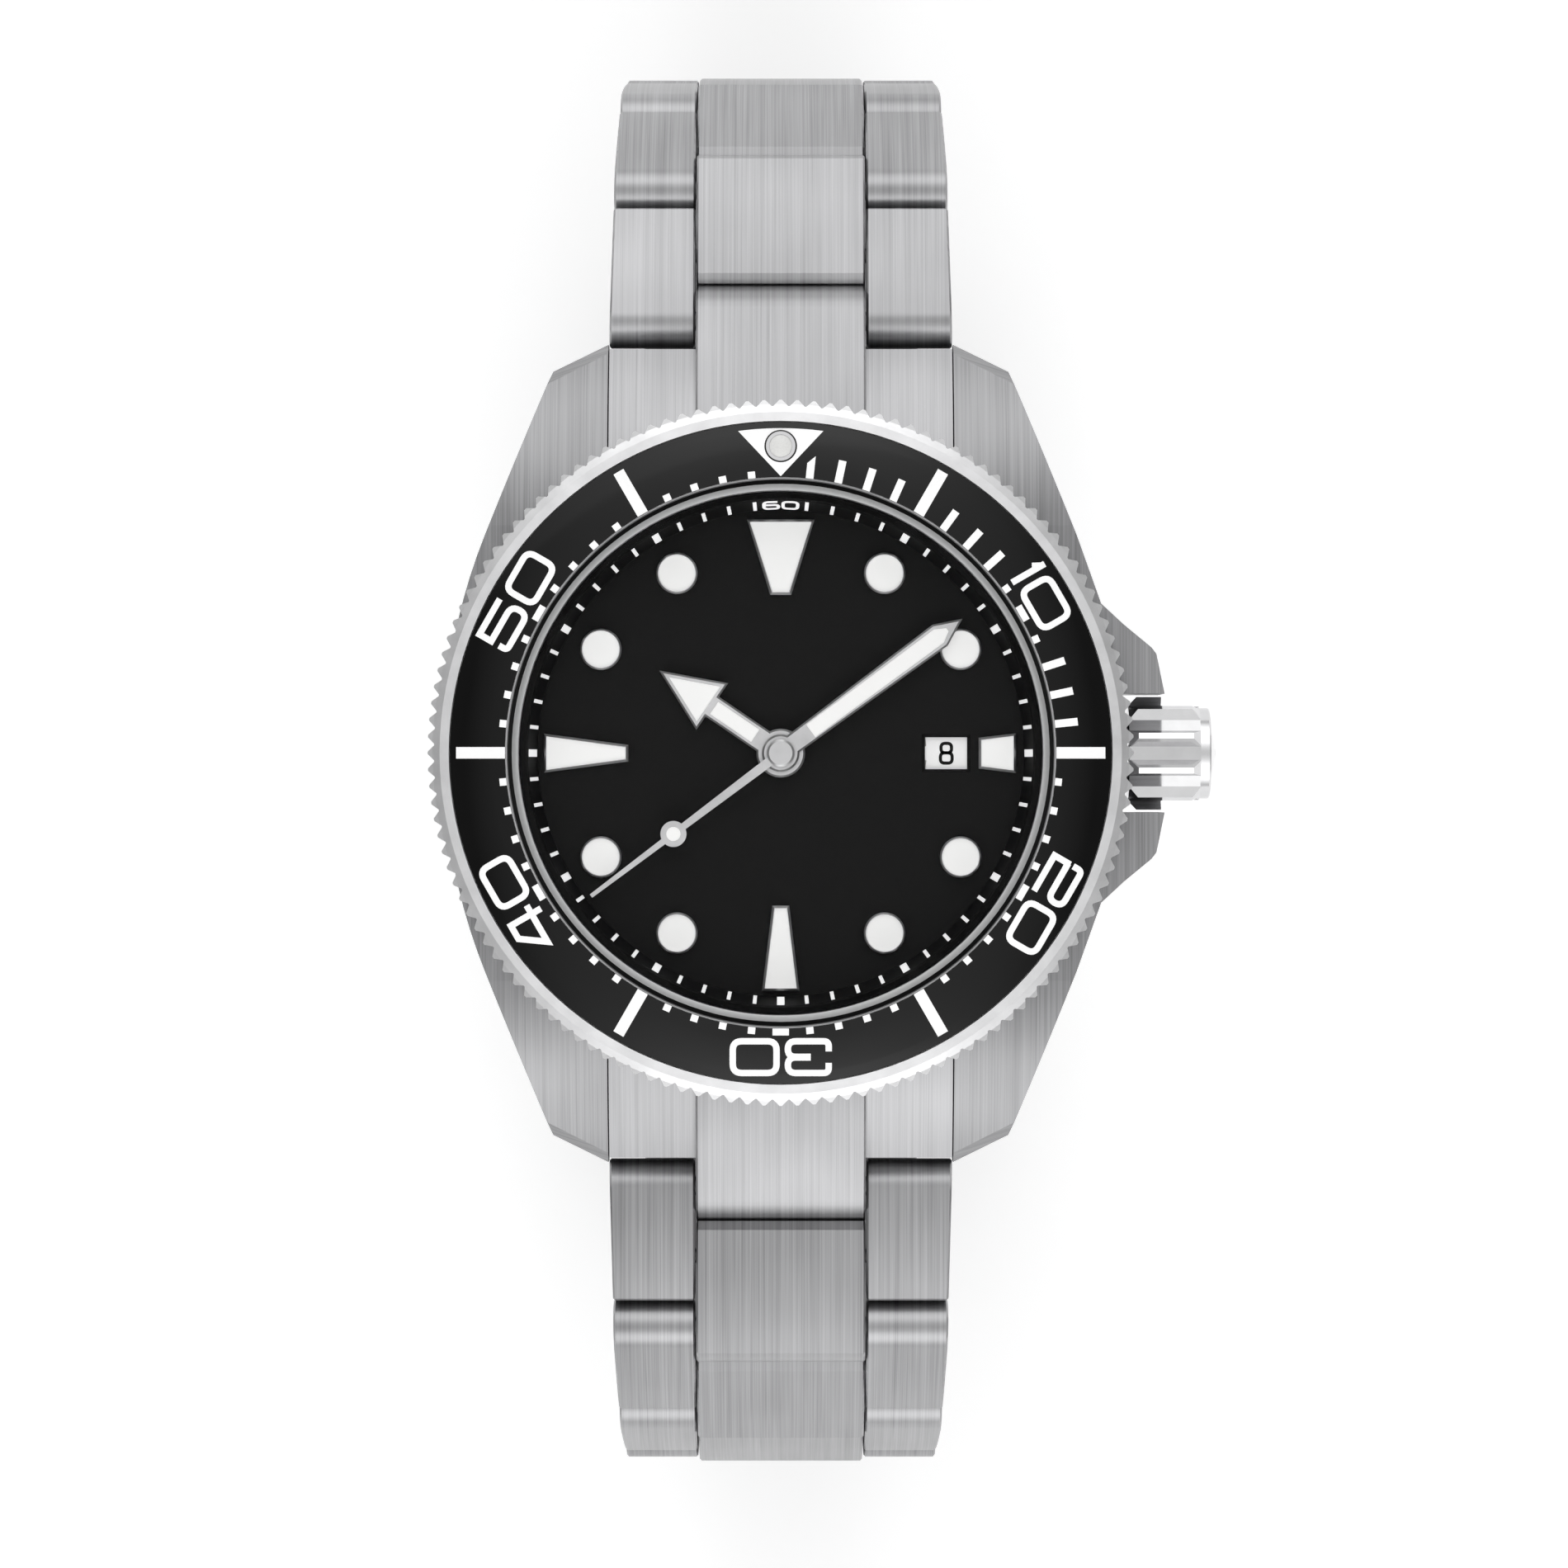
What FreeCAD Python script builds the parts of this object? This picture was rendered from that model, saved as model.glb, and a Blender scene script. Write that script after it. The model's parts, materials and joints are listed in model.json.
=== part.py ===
"""Dive watch: case, rotating bezel, movement, hands, three-piece link bracelet and folding clasp.

Millimetres. The origin is the centre of the case back's outer face. +Z points out of the dial, +Y to 12
o'clock and +X to 3 o'clock, where the crown is. The closed bracelet hangs below, at negative Z.
"""

import FreeCAD, Part

import math
import os

V = FreeCAD.Vector
OUT = "parts"

# ---------------------------------------------------------------- driving dimensions
CASE_BOTTOM = 1.2
CASE_TOP = 9.0
CASE_BORE_R = 15.7
DIAL_BORE_R = 16.05
BODY_R = 19.0
NECK_R = 17.4
NECK_TOP = 11.3
CRYSTAL_R = 16.4
CRYSTAL_BOTTOM = 10.2
CRYSTAL_TOP = 12.9
CRYSTAL_BEVEL = 0.4
SEAL_BORE_R = 16.7
LUG_GAP_HALF = 10.7
LUG_END_Y = 25.4
LUG_CORNER = (14.1, 23.65)
BAR_Y = 21.7
BAR_Z = 3.9
BAR_R = 0.75
BAR_TIP_R = 0.4
CASE_SCREW_ANGLES = (60, 180, 300)
CASE_SCREW_PLACE_R = 14.5
CASE_NOTCHES = 24
LUG_TIP_BEVEL = 0.65

BEZEL_R = 21.55
BEZEL_ROOT_R = 21.15
BEZEL_TEETH = 132
BEZEL_BOTTOM = 9.1
CLICK_TEETH = 120
INSERT_IN_R = 16.8
INSERT_OUT_R = 20.2
INSERT_SEAT = 11.5
INSERT_IN_TOP = 12.75
INSERT_OUT_TOP = 12.15
PEARL_Y = 18.7
PEARL_SEAT = 11.8

DIAL_BOTTOM = 7.2
DIAL_TOP = 7.6
DIAL_R = 15.3
DATE_X = 10.2
DATE_DISC_R = 11.9
DATE_DISC_BOTTOM = 6.9
DATE_DISC_TOP = 7.1
WINDOW_HALF_X = 1.3
WINDOW_HALF_Y = 0.98
WINDOW_BEVEL = 0.2

MARKER_TOP = 8.15
MARKER_BEVEL = 0.14
MARKER_WALL = 0.17
LUME_TOP = 8.02
# hour markers with straight sides: clock angle, (inner, outer) radius, (inner, outer) width
BATONS = (
    (0, (9.76, 14.4), (1.3, 4.15)),
    (90, (12.2, 14.5), (1.9, 2.45)),
    (180, (9.4, 14.65), (1.05, 2.3)),
    (270, (9.4, 14.6), (1.02, 2.4)),
)
DOT_ANGLES = (30, 60, 120, 150, 210, 240, 300, 330)
DOT_R = 1.27
DOT_WALL = 0.15
DOT_BEVEL = 0.1
DOT_PLACE_R = 12.8

# hands: heights of each plate, then shapes as they lie when they point to 12 o'clock
HAND_BEVEL = 0.12
LUME_SINK = 0.04
HOUR_LOW, HOUR_HIGH = 8.2, 8.42
MINUTE_LOW, MINUTE_HIGH = 8.62, 8.84
SECONDS_LOW, SECONDS_HIGH = 9.04, 9.18
HOUR_HUB_R = 1.5
MINUTE_HUB_R = 1.15
HOUR_TUBE_R = 0.75
CANNON_R = 0.42
SECONDS_ARBOR_R = 0.15
HOUR_OUTLINE = [
    (-0.73, 0), (0.73, 0), (0.73, 5.1), (1.74, 5.1), (0, 9.05), (-1.74, 5.1), (-0.73, 5.1),
]
HOUR_SHAFT_FIELD = [(-0.45, 1.9), (0.45, 1.9), (0.45, 4.95), (-0.45, 4.95)]
HOUR_HEAD_FIELD = [(-1.28, 5.38), (1.28, 5.38), (0, 8.3)]
MINUTE_OUTLINE = [(-0.62, 0), (0.62, 0), (0.8, 12.2), (0, 13.9), (-0.8, 12.2)]
MINUTE_FIELD = [(-0.47, 2.3), (0.47, 2.3), (0.5, 12.1), (0.12, 12.75), (-0.12, 12.75), (-0.5, 12.1)]
SECONDS_NEEDLE = [(-0.3, 0), (0.3, 0), (0.125, 14.6), (-0.125, 14.6)]
SECONDS_DOT_Y = 8.26
SECONDS_DOT_R = 0.8
SECONDS_LUME_R = 0.43
SECONDS_CAP_R = 0.85
SECONDS_CAP_TOP = 9.38

CROWN_Z = 5.2
CROWN_R = 3.5
CROWN_ROOT_R = 2.95
CROWN_RIDGES = 10
CROWN_IN_X = 21.5
CROWN_RIM_X = 25.9
CROWN_END_X = 27.0
TUBE_R = 2.0
STEM_R = 0.5

PLATE_R = 13.2
PLATE_BOTTOM = 5.0
PLATE_TOP = 6.1
BRIDGE_BOTTOM = 2.7
BRIDGE_TOP = 3.3
COCK_TOP = 2.98
PIVOT_R = 0.15
PIVOT_FIT = 0.03
ARBOR_BOTTOM = 2.8
ARBOR_TOP = 5.9
BARREL_PIVOT_R = 0.4

# gear train: teeth, then distances and directions of the wheels from the centre
CENTRE_TEETH = 75
CENTRE_PINION_TEETH = 12
THIRD_TEETH = 80
THIRD_PINION_TEETH = 10
FOURTH_TEETH = 84
FOURTH_PINION_TEETH = 10
ESCAPE_TEETH = 15
ESCAPE_PINION_TEETH = 7
BARREL_TEETH = 80
CANNON_TEETH = 10
MOTION_TEETH = 30
MOTION_PINION_TEETH = 8
HOUR_TEETH = 32
THIRD_REACH = 4.2
THIRD_ANGLE = 200
BARREL_REACH = 5.75
BARREL_ANGLE = 90
MOTION_REACH = 2.4
MOTION_ANGLE = 45
ESCAPE_MODULE = 0.09
ESCAPE_ANGLE = 310
ESCAPE_REACH = ESCAPE_MODULE * (FOURTH_TEETH + ESCAPE_PINION_TEETH) / 2
PALLET_REACH = ESCAPE_REACH + 2.35
BALANCE_REACH = PALLET_REACH + 2.9
BALANCE_R = 3.4
BALANCE_ROOM_R = 4.6
CENTRE_MODULE = THIRD_REACH * 2 / (CENTRE_TEETH + THIRD_PINION_TEETH)
FOURTH_PINION_MODULE = THIRD_REACH * 2 / (THIRD_TEETH + FOURTH_PINION_TEETH)
BARREL_MODULE = BARREL_REACH * 2 / (BARREL_TEETH + CENTRE_PINION_TEETH)
MOTION_MODULE = MOTION_REACH * 2 / (CANNON_TEETH + MOTION_TEETH)
ROTOR_BOTTOM = 1.5
ROTOR_R = 13.2

PITCH = 8.8
HALF_THICK = 1.7
KNUCKLE_R = 1.7
TONGUE_R = 2.25
LINK_GAP = 0.13
LINK_BEVEL = 0.12
LINK_BOW = 0.16
LINK_SHOULDER = 0.5
CENTRE_HALF = 5.25
SIDE_IN = 5.33
WIDTH_HALF_CASE = 10.6
WIDTH_HALF_CLASP = 9.0
PIN_R = 0.6
FIXED_PIN_R = 0.45
PIN_FIT = 0.05
HINGE_Y = 26.9
HINGE_Z = 3.7
END_LINK_CREST = 70
END_LINK_RAISE = 0.35
CLASP_WALL_OUT = 9.1
CLASP_WALL_IN = 8.2
COVER_IN = 2.4
COVER_OUT = 3.2
COVER_BOW = 1.3
BLADE_HINGE_BACK = 3.2
BLADE_HINGE_W = 0.8
MID_HINGE_Y = 7.0
MID_HINGE_W = 0.3
EAR_R = 1.3
BLADE_EYE_R = 1.1
BLADE_PIN_R = 0.5
BLADE_BOW = 0.9
ARM_IN = 5.4
ARM_OUT = 7.0
ARM_W = -0.85
RAIL_IN = 7.15
RAIL_OUT = 8.1
PUSHER_Y = 3.9
PUSHER_W = 0.4
PUSHER_R = 0.8
# how far each row is turned inwards from the row before it, in degrees, from the lugs to the clasp
BENDS = {"12": (18, 36, 25, 26, 23, 21, 18), "6": (4, 48, 21, 26, 25, 24, 18)}

HOUR_ANGLE = 304.2
MINUTE_ANGLE = 53.5
SECONDS_ANGLE = 233.0


# ---------------------------------------------------------------- helpers
def cylinder(radius, low, high, x=0.0, y=0.0):
    return Part.makeCylinder(radius, high - low, V(x, y, low))


def tube(outer, inner, low, high, x=0.0, y=0.0):
    return cylinder(outer, low, high, x, y).cut(cylinder(inner, low - 1, high + 1, x, y))


def block(x, y, z):
    """Box between the low and high value of each axis."""
    return Part.makeBox(x[1] - x[0], y[1] - y[0], z[1] - z[0], V(x[0], y[0], z[0]))


def in_plan(a, b):
    return V(a, b, 0)


def in_side(a, b):
    return V(0, a, b)


def in_section(a, b):
    return V(a, 0, b)


def contour(steps, place):
    """Closed face: a step is a point for a straight run, or (through, end) for an arc."""
    edges = []
    here = steps[0]
    for step in list(steps[1:]) + [steps[0]]:
        is_arc = isinstance(step[0], tuple)
        end = step[1] if is_arc else step
        if is_arc:
            edges.append(Part.Arc(place(*here), place(*step[0]), place(*end)).toShape())
        elif (place(*end) - place(*here)).Length > 1e-6:
            edges.append(Part.makeLine(place(*here), place(*end)))
        here = end
    return Part.Face(Part.Wire(edges))


def prism(steps, low, high):
    face = contour(steps, in_plan)
    face.translate(V(0, 0, low))
    return face.extrude(V(0, 0, high - low))


def side_prism(steps, low, high):
    """Outline in the Y-Z plane, extruded along X."""
    face = contour(steps, in_side)
    face.translate(V(low, 0, 0))
    return face.extrude(V(high - low, 0, 0))


def turned(steps, degrees=360.0):
    """Outline of (radius, z) points turned about Z."""
    return contour(steps, in_section).revolve(V(0, 0, 0), V(0, 0, 1), degrees)


def along_x(shape):
    """Lay a shape made about +Z along +X, at the crown's height."""
    laid = shape.copy()
    laid.rotate(V(0, 0, 0), V(0, 1, 0), 90)
    laid.translate(V(0, 0, CROWN_Z))
    return laid


def spun(shape, degrees, centre=(0, 0, 0), axis=(0, 0, 1)):
    copy = shape.copy()
    copy.rotate(V(*centre), V(*axis), degrees)
    return copy


def moved(shape, x, y, z=0.0):
    copy = shape.copy()
    copy.translate(V(x, y, z))
    return copy


def mirrored_x(shape):
    return shape.mirror(V(0, 0, 0), V(1, 0, 0))


def polar(radius, degrees):
    return radius * math.cos(math.radians(degrees)), radius * math.sin(math.radians(degrees))


def fused(shapes):
    return shapes[0].fuse(shapes[1:]).removeSplitter() if len(shapes) > 1 else shapes[0]


def save(node, shapes):
    """Write one node: one solid, or a group of separate solids."""
    solids = [solid for shape in shapes for solid in shape.Solids]
    shape = solids[0] if len(solids) == 1 else Part.makeCompound(solids)
    shape.exportStep(os.path.join(OUT, node + ".step"))


def soften(shape, size, wanted):
    """Chamfer the edges that the given test picks."""
    return shape.makeChamfer(size, [edge for edge in shape.Edges if wanted(edge)])


def toothed(teeth, root, tip, root_share, tip_share, phase=0.0):
    """Outline points of a toothed ring: each tooth is root_share wide at its foot, tip_share at its tip."""
    step = 360.0 / teeth
    points = []
    for tooth in range(teeth):
        middle = phase + tooth * step
        for radius, share in ((root, -root_share), (tip, -tip_share), (tip, tip_share), (root, root_share)):
            points.append(polar(radius, middle + share * step / 2))
    return points


def gear(teeth, module, low, high, bore, phase=0.0):
    pitch_r = module * teeth / 2
    outline = toothed(teeth, pitch_r - 1.2 * module, pitch_r + 0.85 * module, 0.62, 0.2, phase)
    return prism(outline, low, high).cut(cylinder(bore, low - 1, high + 1))


def wheel(teeth, module, low, high, hub_r, bore, spokes, phase=0.0):
    """Gear with open sectors between its spokes."""
    rim_in = module * teeth / 2 - 4.5 * module
    body = gear(teeth, module, low, high, bore, phase)
    window = tube(rim_in, hub_r, low - 1, high + 1)
    spoke_half = 0.2
    bars = [
        spun(block((0, rim_in + 1), (-spoke_half, spoke_half), (low - 2, high + 2)), 360.0 * i / spokes + 17)
        for i in range(spokes)
    ]
    return body.cut(window.cut(bars[0].fuse(bars[1:])))


# ---------------------------------------------------------------- case
def case_outline():
    """Plan of the case: four lugs, and crown guards either side of the crown on +X."""
    half_left = [
        (-LUG_GAP_HALF, 15.5),
        (-LUG_GAP_HALF, LUG_END_Y),
        (-LUG_CORNER[0], LUG_CORNER[1]),
        (-18.2, 13.4),
        ((-20.78, 0), (-18.2, -13.4)),
        (-LUG_CORNER[0], -LUG_CORNER[1]),
        (-LUG_GAP_HALF, -LUG_END_Y),
        (-LUG_GAP_HALF, -15.5),
    ]
    guard = [(23.6, 3.65), (23.1, 6.1), (22.8, 6.5), (21.1, 7.9), (19.7, 9.2), (18.2, 13.4)]
    lug = [LUG_CORNER, (LUG_GAP_HALF, LUG_END_Y), (LUG_GAP_HALF, 15.5)]
    upper = [(20.9, 3.65)] + guard + lug
    lower = [(x, -y) for x, y in reversed(upper)]
    return half_left + lower + upper


def case_side():
    """Side view: flat in the middle, lugs curving down to their tips."""
    return [
        (-25.6, 2.2),
        (-25.6, 5.0),
        ((-20.6, 7.7), (-14.0, CASE_TOP)),
        (14.0, CASE_TOP),
        ((20.6, 7.7), (25.6, 5.0)),
        (25.6, 2.2),
        ((21.5, 1.5), (17.0, CASE_BOTTOM)),
        (-17.0, CASE_BOTTOM),
        ((-21.5, 1.5), (-25.6, 2.2)),
    ]


def at_lug_tip(edge):
    """Picks the upper edge of each lug's slanting end."""
    ends = sorted((abs(v.X), abs(v.Y)) for v in edge.Vertexes)
    wanted = [(LUG_GAP_HALF, LUG_END_Y), LUG_CORNER]
    near = all(abs(a[0] - b[0]) + abs(a[1] - b[1]) < 1e-4 for a, b in zip(ends, wanted))
    return len(ends) == 2 and near and all(v.Z > BAR_Z for v in edge.Vertexes)


def case_middle():
    """Case with its neck, bores and lug holes; the lugs' ends are bevelled."""
    body = prism(case_outline(), 0, CASE_TOP + 1).common(side_prism(case_side(), -30, 30))
    body = soften(body, LUG_TIP_BEVEL, at_lug_tip)
    body = body.fuse([cylinder(BODY_R, CASE_BOTTOM, CASE_TOP), cylinder(NECK_R, CASE_TOP - 1, NECK_TOP)])
    cuts = [
        cylinder(CASE_BORE_R, 0, DIAL_BOTTOM),
        cylinder(DIAL_BORE_R, DIAL_BOTTOM - 0.05, CRYSTAL_BOTTOM),
        cylinder(SEAL_BORE_R, CRYSTAL_BOTTOM, NECK_TOP + 1),
        cylinder(16.1, 0, 2.45),
        tube(17.05, 16.35, 0, 1.55),
        along_x(Part.makeCylinder(TUBE_R, 15, V(0, 0, 13))),
        # open space above and below the crown, so the guards stand free of it
        block((20.9, 30), (-3.65, 3.65), (0, 10)),
    ]
    for side in (-1, 1):
        bar_hole = Part.makeCylinder(BAR_TIP_R + 0.02, 25, V(-12.5, side * BAR_Y, BAR_Z), V(1, 0, 0))
        cuts.append(bar_hole)
    return body.cut(cuts)


def case_back():
    """Screwed disc with a raised inner ring and notches for a case opener."""
    profile = [
        (0, 0), (15.8, 0), (17.3, 0.5), (17.5, 0.9), (17.5, CASE_BOTTOM), (16.0, CASE_BOTTOM),
        (16.0, 2.4), (13.9, 2.4), (13.9, 1.3), (0, 1.3),
    ]
    notches = []
    for i in range(CASE_NOTCHES):
        x, y = polar(17.75, 360.0 / CASE_NOTCHES * i)
        notches.append(cylinder(0.75, -1, 0.8, x, y))
    return turned(profile).cut(notches)


def gaskets():
    crystal_seal = tube(SEAL_BORE_R - 0.02, CRYSTAL_R + 0.02, CRYSTAL_BOTTOM, 11.5)
    back_seal = Part.makeTorus(16.7, 0.15, V(0, 0, 1.37))
    crown_seal = along_x(Part.makeTorus(2.15, 0.12, V(0, 0, 22.6)))
    return [crystal_seal, back_seal, crown_seal]


def crystal():
    return turned([
        (0, CRYSTAL_BOTTOM), (CRYSTAL_R, CRYSTAL_BOTTOM), (CRYSTAL_R, CRYSTAL_TOP - CRYSTAL_BEVEL),
        (CRYSTAL_R - CRYSTAL_BEVEL, CRYSTAL_TOP), (0, CRYSTAL_TOP),
    ])


def crown_tube():
    outer = Part.makeCylinder(TUBE_R, 7.6, V(0, 0, 15.8))
    return along_x(outer.cut(Part.makeCylinder(0.85, 12, V(0, 0, 14))))


def spring_bars():
    """Two bars that hold the end links between the lugs."""
    bars = []
    for side in (-1, 1):
        body = Part.makeCylinder(BAR_R, 20.8, V(-10.4, side * BAR_Y, BAR_Z), V(1, 0, 0))
        tip = Part.makeCylinder(BAR_TIP_R, 24, V(-12.0, side * BAR_Y, BAR_Z), V(1, 0, 0))
        bars.append(body.fuse(tip))
    return bars


# ---------------------------------------------------------------- bezel
def bezel():
    profile = [
        (17.5, BEZEL_BOTTOM), (21.2, BEZEL_BOTTOM), (BEZEL_R + 0.1, 9.6), (BEZEL_R + 0.1, 11.95),
        (21.25, 12.25), (20.8, 12.4), (20.25, 12.3), (20.25, INSERT_SEAT), (16.75, INSERT_SEAT),
        (16.75, 11.38), (17.5, 11.38),
    ]
    body = turned(profile)
    edge = prism(toothed(BEZEL_TEETH, BEZEL_ROOT_R, BEZEL_R, 0.9, 0.16), 0, 20)
    ratchet = prism(toothed(CLICK_TEETH, 18.7, 18.4, 0.5, 0.15), BEZEL_BOTTOM - 1, 9.95)
    return body.common(edge).cut(ratchet)


def bezel_insert():
    """Ring with a gently domed top that falls away outwards, drilled for the pearl."""
    middle = ((INSERT_IN_R + INSERT_OUT_R) / 2, (INSERT_IN_TOP + INSERT_OUT_TOP) / 2 + 0.07)
    ring = turned([
        (INSERT_IN_R, INSERT_SEAT), (INSERT_OUT_R, INSERT_SEAT), (INSERT_OUT_R, INSERT_OUT_TOP),
        (middle, (INSERT_IN_R, INSERT_IN_TOP)),
    ])
    return ring.cut(cylinder(0.92, PEARL_SEAT, 14, 0, PEARL_Y))


def bezel_pearl():
    """Metal capsule with a domed luminous filling."""
    capsule = tube(0.9, 0.7, PEARL_SEAT, 12.6, 0, PEARL_Y)
    dome = Part.makeSphere(1.6, V(0, PEARL_Y, 11.12)).common(cylinder(0.69, PEARL_SEAT, 14, 0, PEARL_Y))
    return [capsule, dome]


def bezel_click_spring():
    """Open ring lying round the neck, with two tips that reach the ratchet under the bezel."""
    ring = tube(17.8, 17.46, CASE_TOP, 9.6)
    gap = spun(block((10, 20), (-3, 3), (8, 11)), 90)
    tips = []
    for degrees in (70, 110):
        tips.append(spun(block((17.6, 18.3), (-0.25, 0.25), (CASE_TOP, 9.6)), degrees))
    return fused([ring.cut(gap)] + tips)


# ---------------------------------------------------------------- dial side
def rehaut_ring():
    return turned([
        (15.0, DIAL_TOP), (16.0, DIAL_TOP), (16.0, CRYSTAL_BOTTOM), (15.62, CRYSTAL_BOTTOM), (15.5, 10.0),
        (15.0, 8.0),
    ])


def dial():
    disc = cylinder(DIAL_R, DIAL_BOTTOM, DIAL_TOP).cut(cylinder(0.85, 6, 9))
    window = block(
        (DATE_X - WINDOW_HALF_X, DATE_X + WINDOW_HALF_X), (-WINDOW_HALF_Y, WINDOW_HALF_Y), (6, 9)
    )
    feet = [cylinder(0.3, PLATE_TOP, DIAL_BOTTOM, *polar(12.55, angle)) for angle in (45, 225)]
    return disc.cut([window, window_bevel()]).fuse(feet)


def rectangle(half_x, half_y, z):
    corners = [(-half_x, -half_y), (half_x, -half_y), (half_x, half_y), (-half_x, half_y)]
    return Part.makePolygon([V(x, y, z) for x, y in corners + corners[:1]])


def window_bevel():
    low = rectangle(WINDOW_HALF_X, WINDOW_HALF_Y, DIAL_TOP - WINDOW_BEVEL)
    high = rectangle(WINDOW_HALF_X + WINDOW_BEVEL, WINDOW_HALF_Y + WINDOW_BEVEL, DIAL_TOP)
    return moved(Part.makeLoft([low, high], True, True), DATE_X, 0)


def trapezoid(radii, widths, inset):
    """Plan outline of a baton marker on the +Y ray: inner and outer radius, inner and outer width."""
    inner, outer = radii
    half_in, half_out = widths[0] / 2, widths[1] / 2
    return [
        (-half_in + inset, inner + inset), (half_in - inset, inner + inset),
        (half_out - inset, outer - inset), (-half_out + inset, outer - inset),
    ]


def bevelled_plate(outline, low, high, bevel):
    """Flat plate whose top edge is chamfered all round."""
    plate = prism(outline, low, high)
    top = [edge for edge in plate.Edges if all(abs(v.Z - high) < 1e-6 for v in edge.Vertexes)]
    return plate.makeChamfer(bevel, top)


def hour_markers():
    frames = []
    for angle, radii, widths in BATONS:
        frame = bevelled_plate(trapezoid(radii, widths, 0), DIAL_TOP, MARKER_TOP, MARKER_BEVEL)
        frame = frame.cut(prism(trapezoid(radii, widths, MARKER_WALL), DIAL_TOP - 1, 10))
        frames.append(spun(frame, -angle))
    for angle in DOT_ANGLES:
        ring = turned([
            (DOT_R - DOT_WALL, DIAL_TOP), (DOT_R, DIAL_TOP), (DOT_R, MARKER_TOP - DOT_BEVEL),
            (DOT_R - DOT_BEVEL, MARKER_TOP), (DOT_R - DOT_WALL, MARKER_TOP),
        ])
        frames.append(moved(ring, *polar(DOT_PLACE_R, 90 - angle)))
    return frames


def hour_marker_lume():
    fillings = []
    for angle, radii, widths in BATONS:
        fillings.append(spun(prism(trapezoid(radii, widths, MARKER_WALL), DIAL_TOP, LUME_TOP), -angle))
    for angle in DOT_ANGLES:
        fillings.append(cylinder(DOT_R - DOT_WALL, DIAL_TOP, LUME_TOP, *polar(DOT_PLACE_R, 90 - angle)))
    return fillings


def date_disc():
    """Ring with 31 inner teeth, one for each day."""
    inner = prism(toothed(31, 9.0, 8.7, 0.5, 0.3), 6, 8)
    return cylinder(DATE_DISC_R, DATE_DISC_BOTTOM, DATE_DISC_TOP).cut(inner)


# ---------------------------------------------------------------- hands
def hand_plate(outline, hub_r, bore, low, high):
    """Bevelled blade with a round hub."""
    blade = bevelled_plate(outline, low, high, HAND_BEVEL)
    hub = Part.makeCone(hub_r, hub_r - HAND_BEVEL, HAND_BEVEL, V(0, 0, high - HAND_BEVEL))
    hub = hub.fuse(cylinder(hub_r, low, high - HAND_BEVEL))
    return blade.fuse(hub).removeSplitter().cut(cylinder(bore, low - 1, high + 2))


def hour_hand():
    hand = hand_plate(HOUR_OUTLINE, HOUR_HUB_R, HOUR_TUBE_R, HOUR_LOW, HOUR_HIGH)
    fields = [prism(field, HOUR_LOW - 1, HOUR_HIGH + 1) for field in (HOUR_SHAFT_FIELD, HOUR_HEAD_FIELD)]
    return spun(hand.cut(fields), -HOUR_ANGLE)


def hour_hand_lume():
    fields = [prism(field, HOUR_LOW, HOUR_HIGH - LUME_SINK) for field in (HOUR_SHAFT_FIELD, HOUR_HEAD_FIELD)]
    return [spun(field, -HOUR_ANGLE) for field in fields]


def minute_hand():
    hand = hand_plate(MINUTE_OUTLINE, MINUTE_HUB_R, CANNON_R, MINUTE_LOW, MINUTE_HIGH)
    return spun(hand.cut(prism(MINUTE_FIELD, MINUTE_LOW - 1, MINUTE_HIGH + 1)), -MINUTE_ANGLE)


def minute_hand_lume():
    return spun(prism(MINUTE_FIELD, MINUTE_LOW, MINUTE_HIGH - LUME_SINK), -MINUTE_ANGLE)


def seconds_hand():
    """Tapering needle with a ring for the luminous dot and a domed cap over the arbor."""
    needle = prism(SECONDS_NEEDLE, SECONDS_LOW, SECONDS_HIGH)
    dot = cylinder(SECONDS_DOT_R, SECONDS_LOW, SECONDS_HIGH, 0, SECONDS_DOT_Y)
    cap = turned([
        (0, SECONDS_LOW), (SECONDS_CAP_R, SECONDS_LOW), (SECONDS_CAP_R, SECONDS_CAP_TOP - 0.08),
        (SECONDS_CAP_R - 0.13, SECONDS_CAP_TOP), (0, SECONDS_CAP_TOP),
    ])
    hand = needle.fuse([dot, cap]).removeSplitter()
    holes = [
        cylinder(SECONDS_LUME_R, SECONDS_LOW - 1, SECONDS_HIGH + 1, 0, SECONDS_DOT_Y),
        cylinder(SECONDS_ARBOR_R, SECONDS_LOW - 1, SECONDS_CAP_TOP - 0.13),
    ]
    return spun(hand.cut(holes), -SECONDS_ANGLE)


def seconds_hand_lume():
    filling = cylinder(SECONDS_LUME_R, SECONDS_LOW, SECONDS_HIGH - LUME_SINK / 2, 0, SECONDS_DOT_Y)
    return spun(filling, -SECONDS_ANGLE)


# ---------------------------------------------------------------- movement
# wheel centres; the two wheels of a pair touch at their pitch circles
THIRD_AT = polar(THIRD_REACH, THIRD_ANGLE)
ESCAPE_AT = polar(ESCAPE_REACH, ESCAPE_ANGLE)
PALLET_AT = polar(PALLET_REACH, ESCAPE_ANGLE)
BALANCE_AT = polar(BALANCE_REACH, ESCAPE_ANGLE)
BARREL_AT = polar(BARREL_REACH, BARREL_ANGLE)
MOTION_AT = polar(MOTION_REACH, MOTION_ANGLE)
PALLET_SIDE = polar(1, ESCAPE_ANGLE - 90)


def movement_ring():
    ring = tube(CASE_BORE_R - 0.1, 13.35, 2.5, DIAL_BOTTOM)
    cuts = [along_x(Part.makeCylinder(0.9, 8, V(0, 0, 10)))]
    for angle in CASE_SCREW_ANGLES:
        x, y = polar(CASE_SCREW_PLACE_R, angle)
        cuts += [cylinder(0.9, 2, 2.95, x, y), cylinder(0.4, 2, 5, x, y)]
    return ring.cut(cuts)


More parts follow.
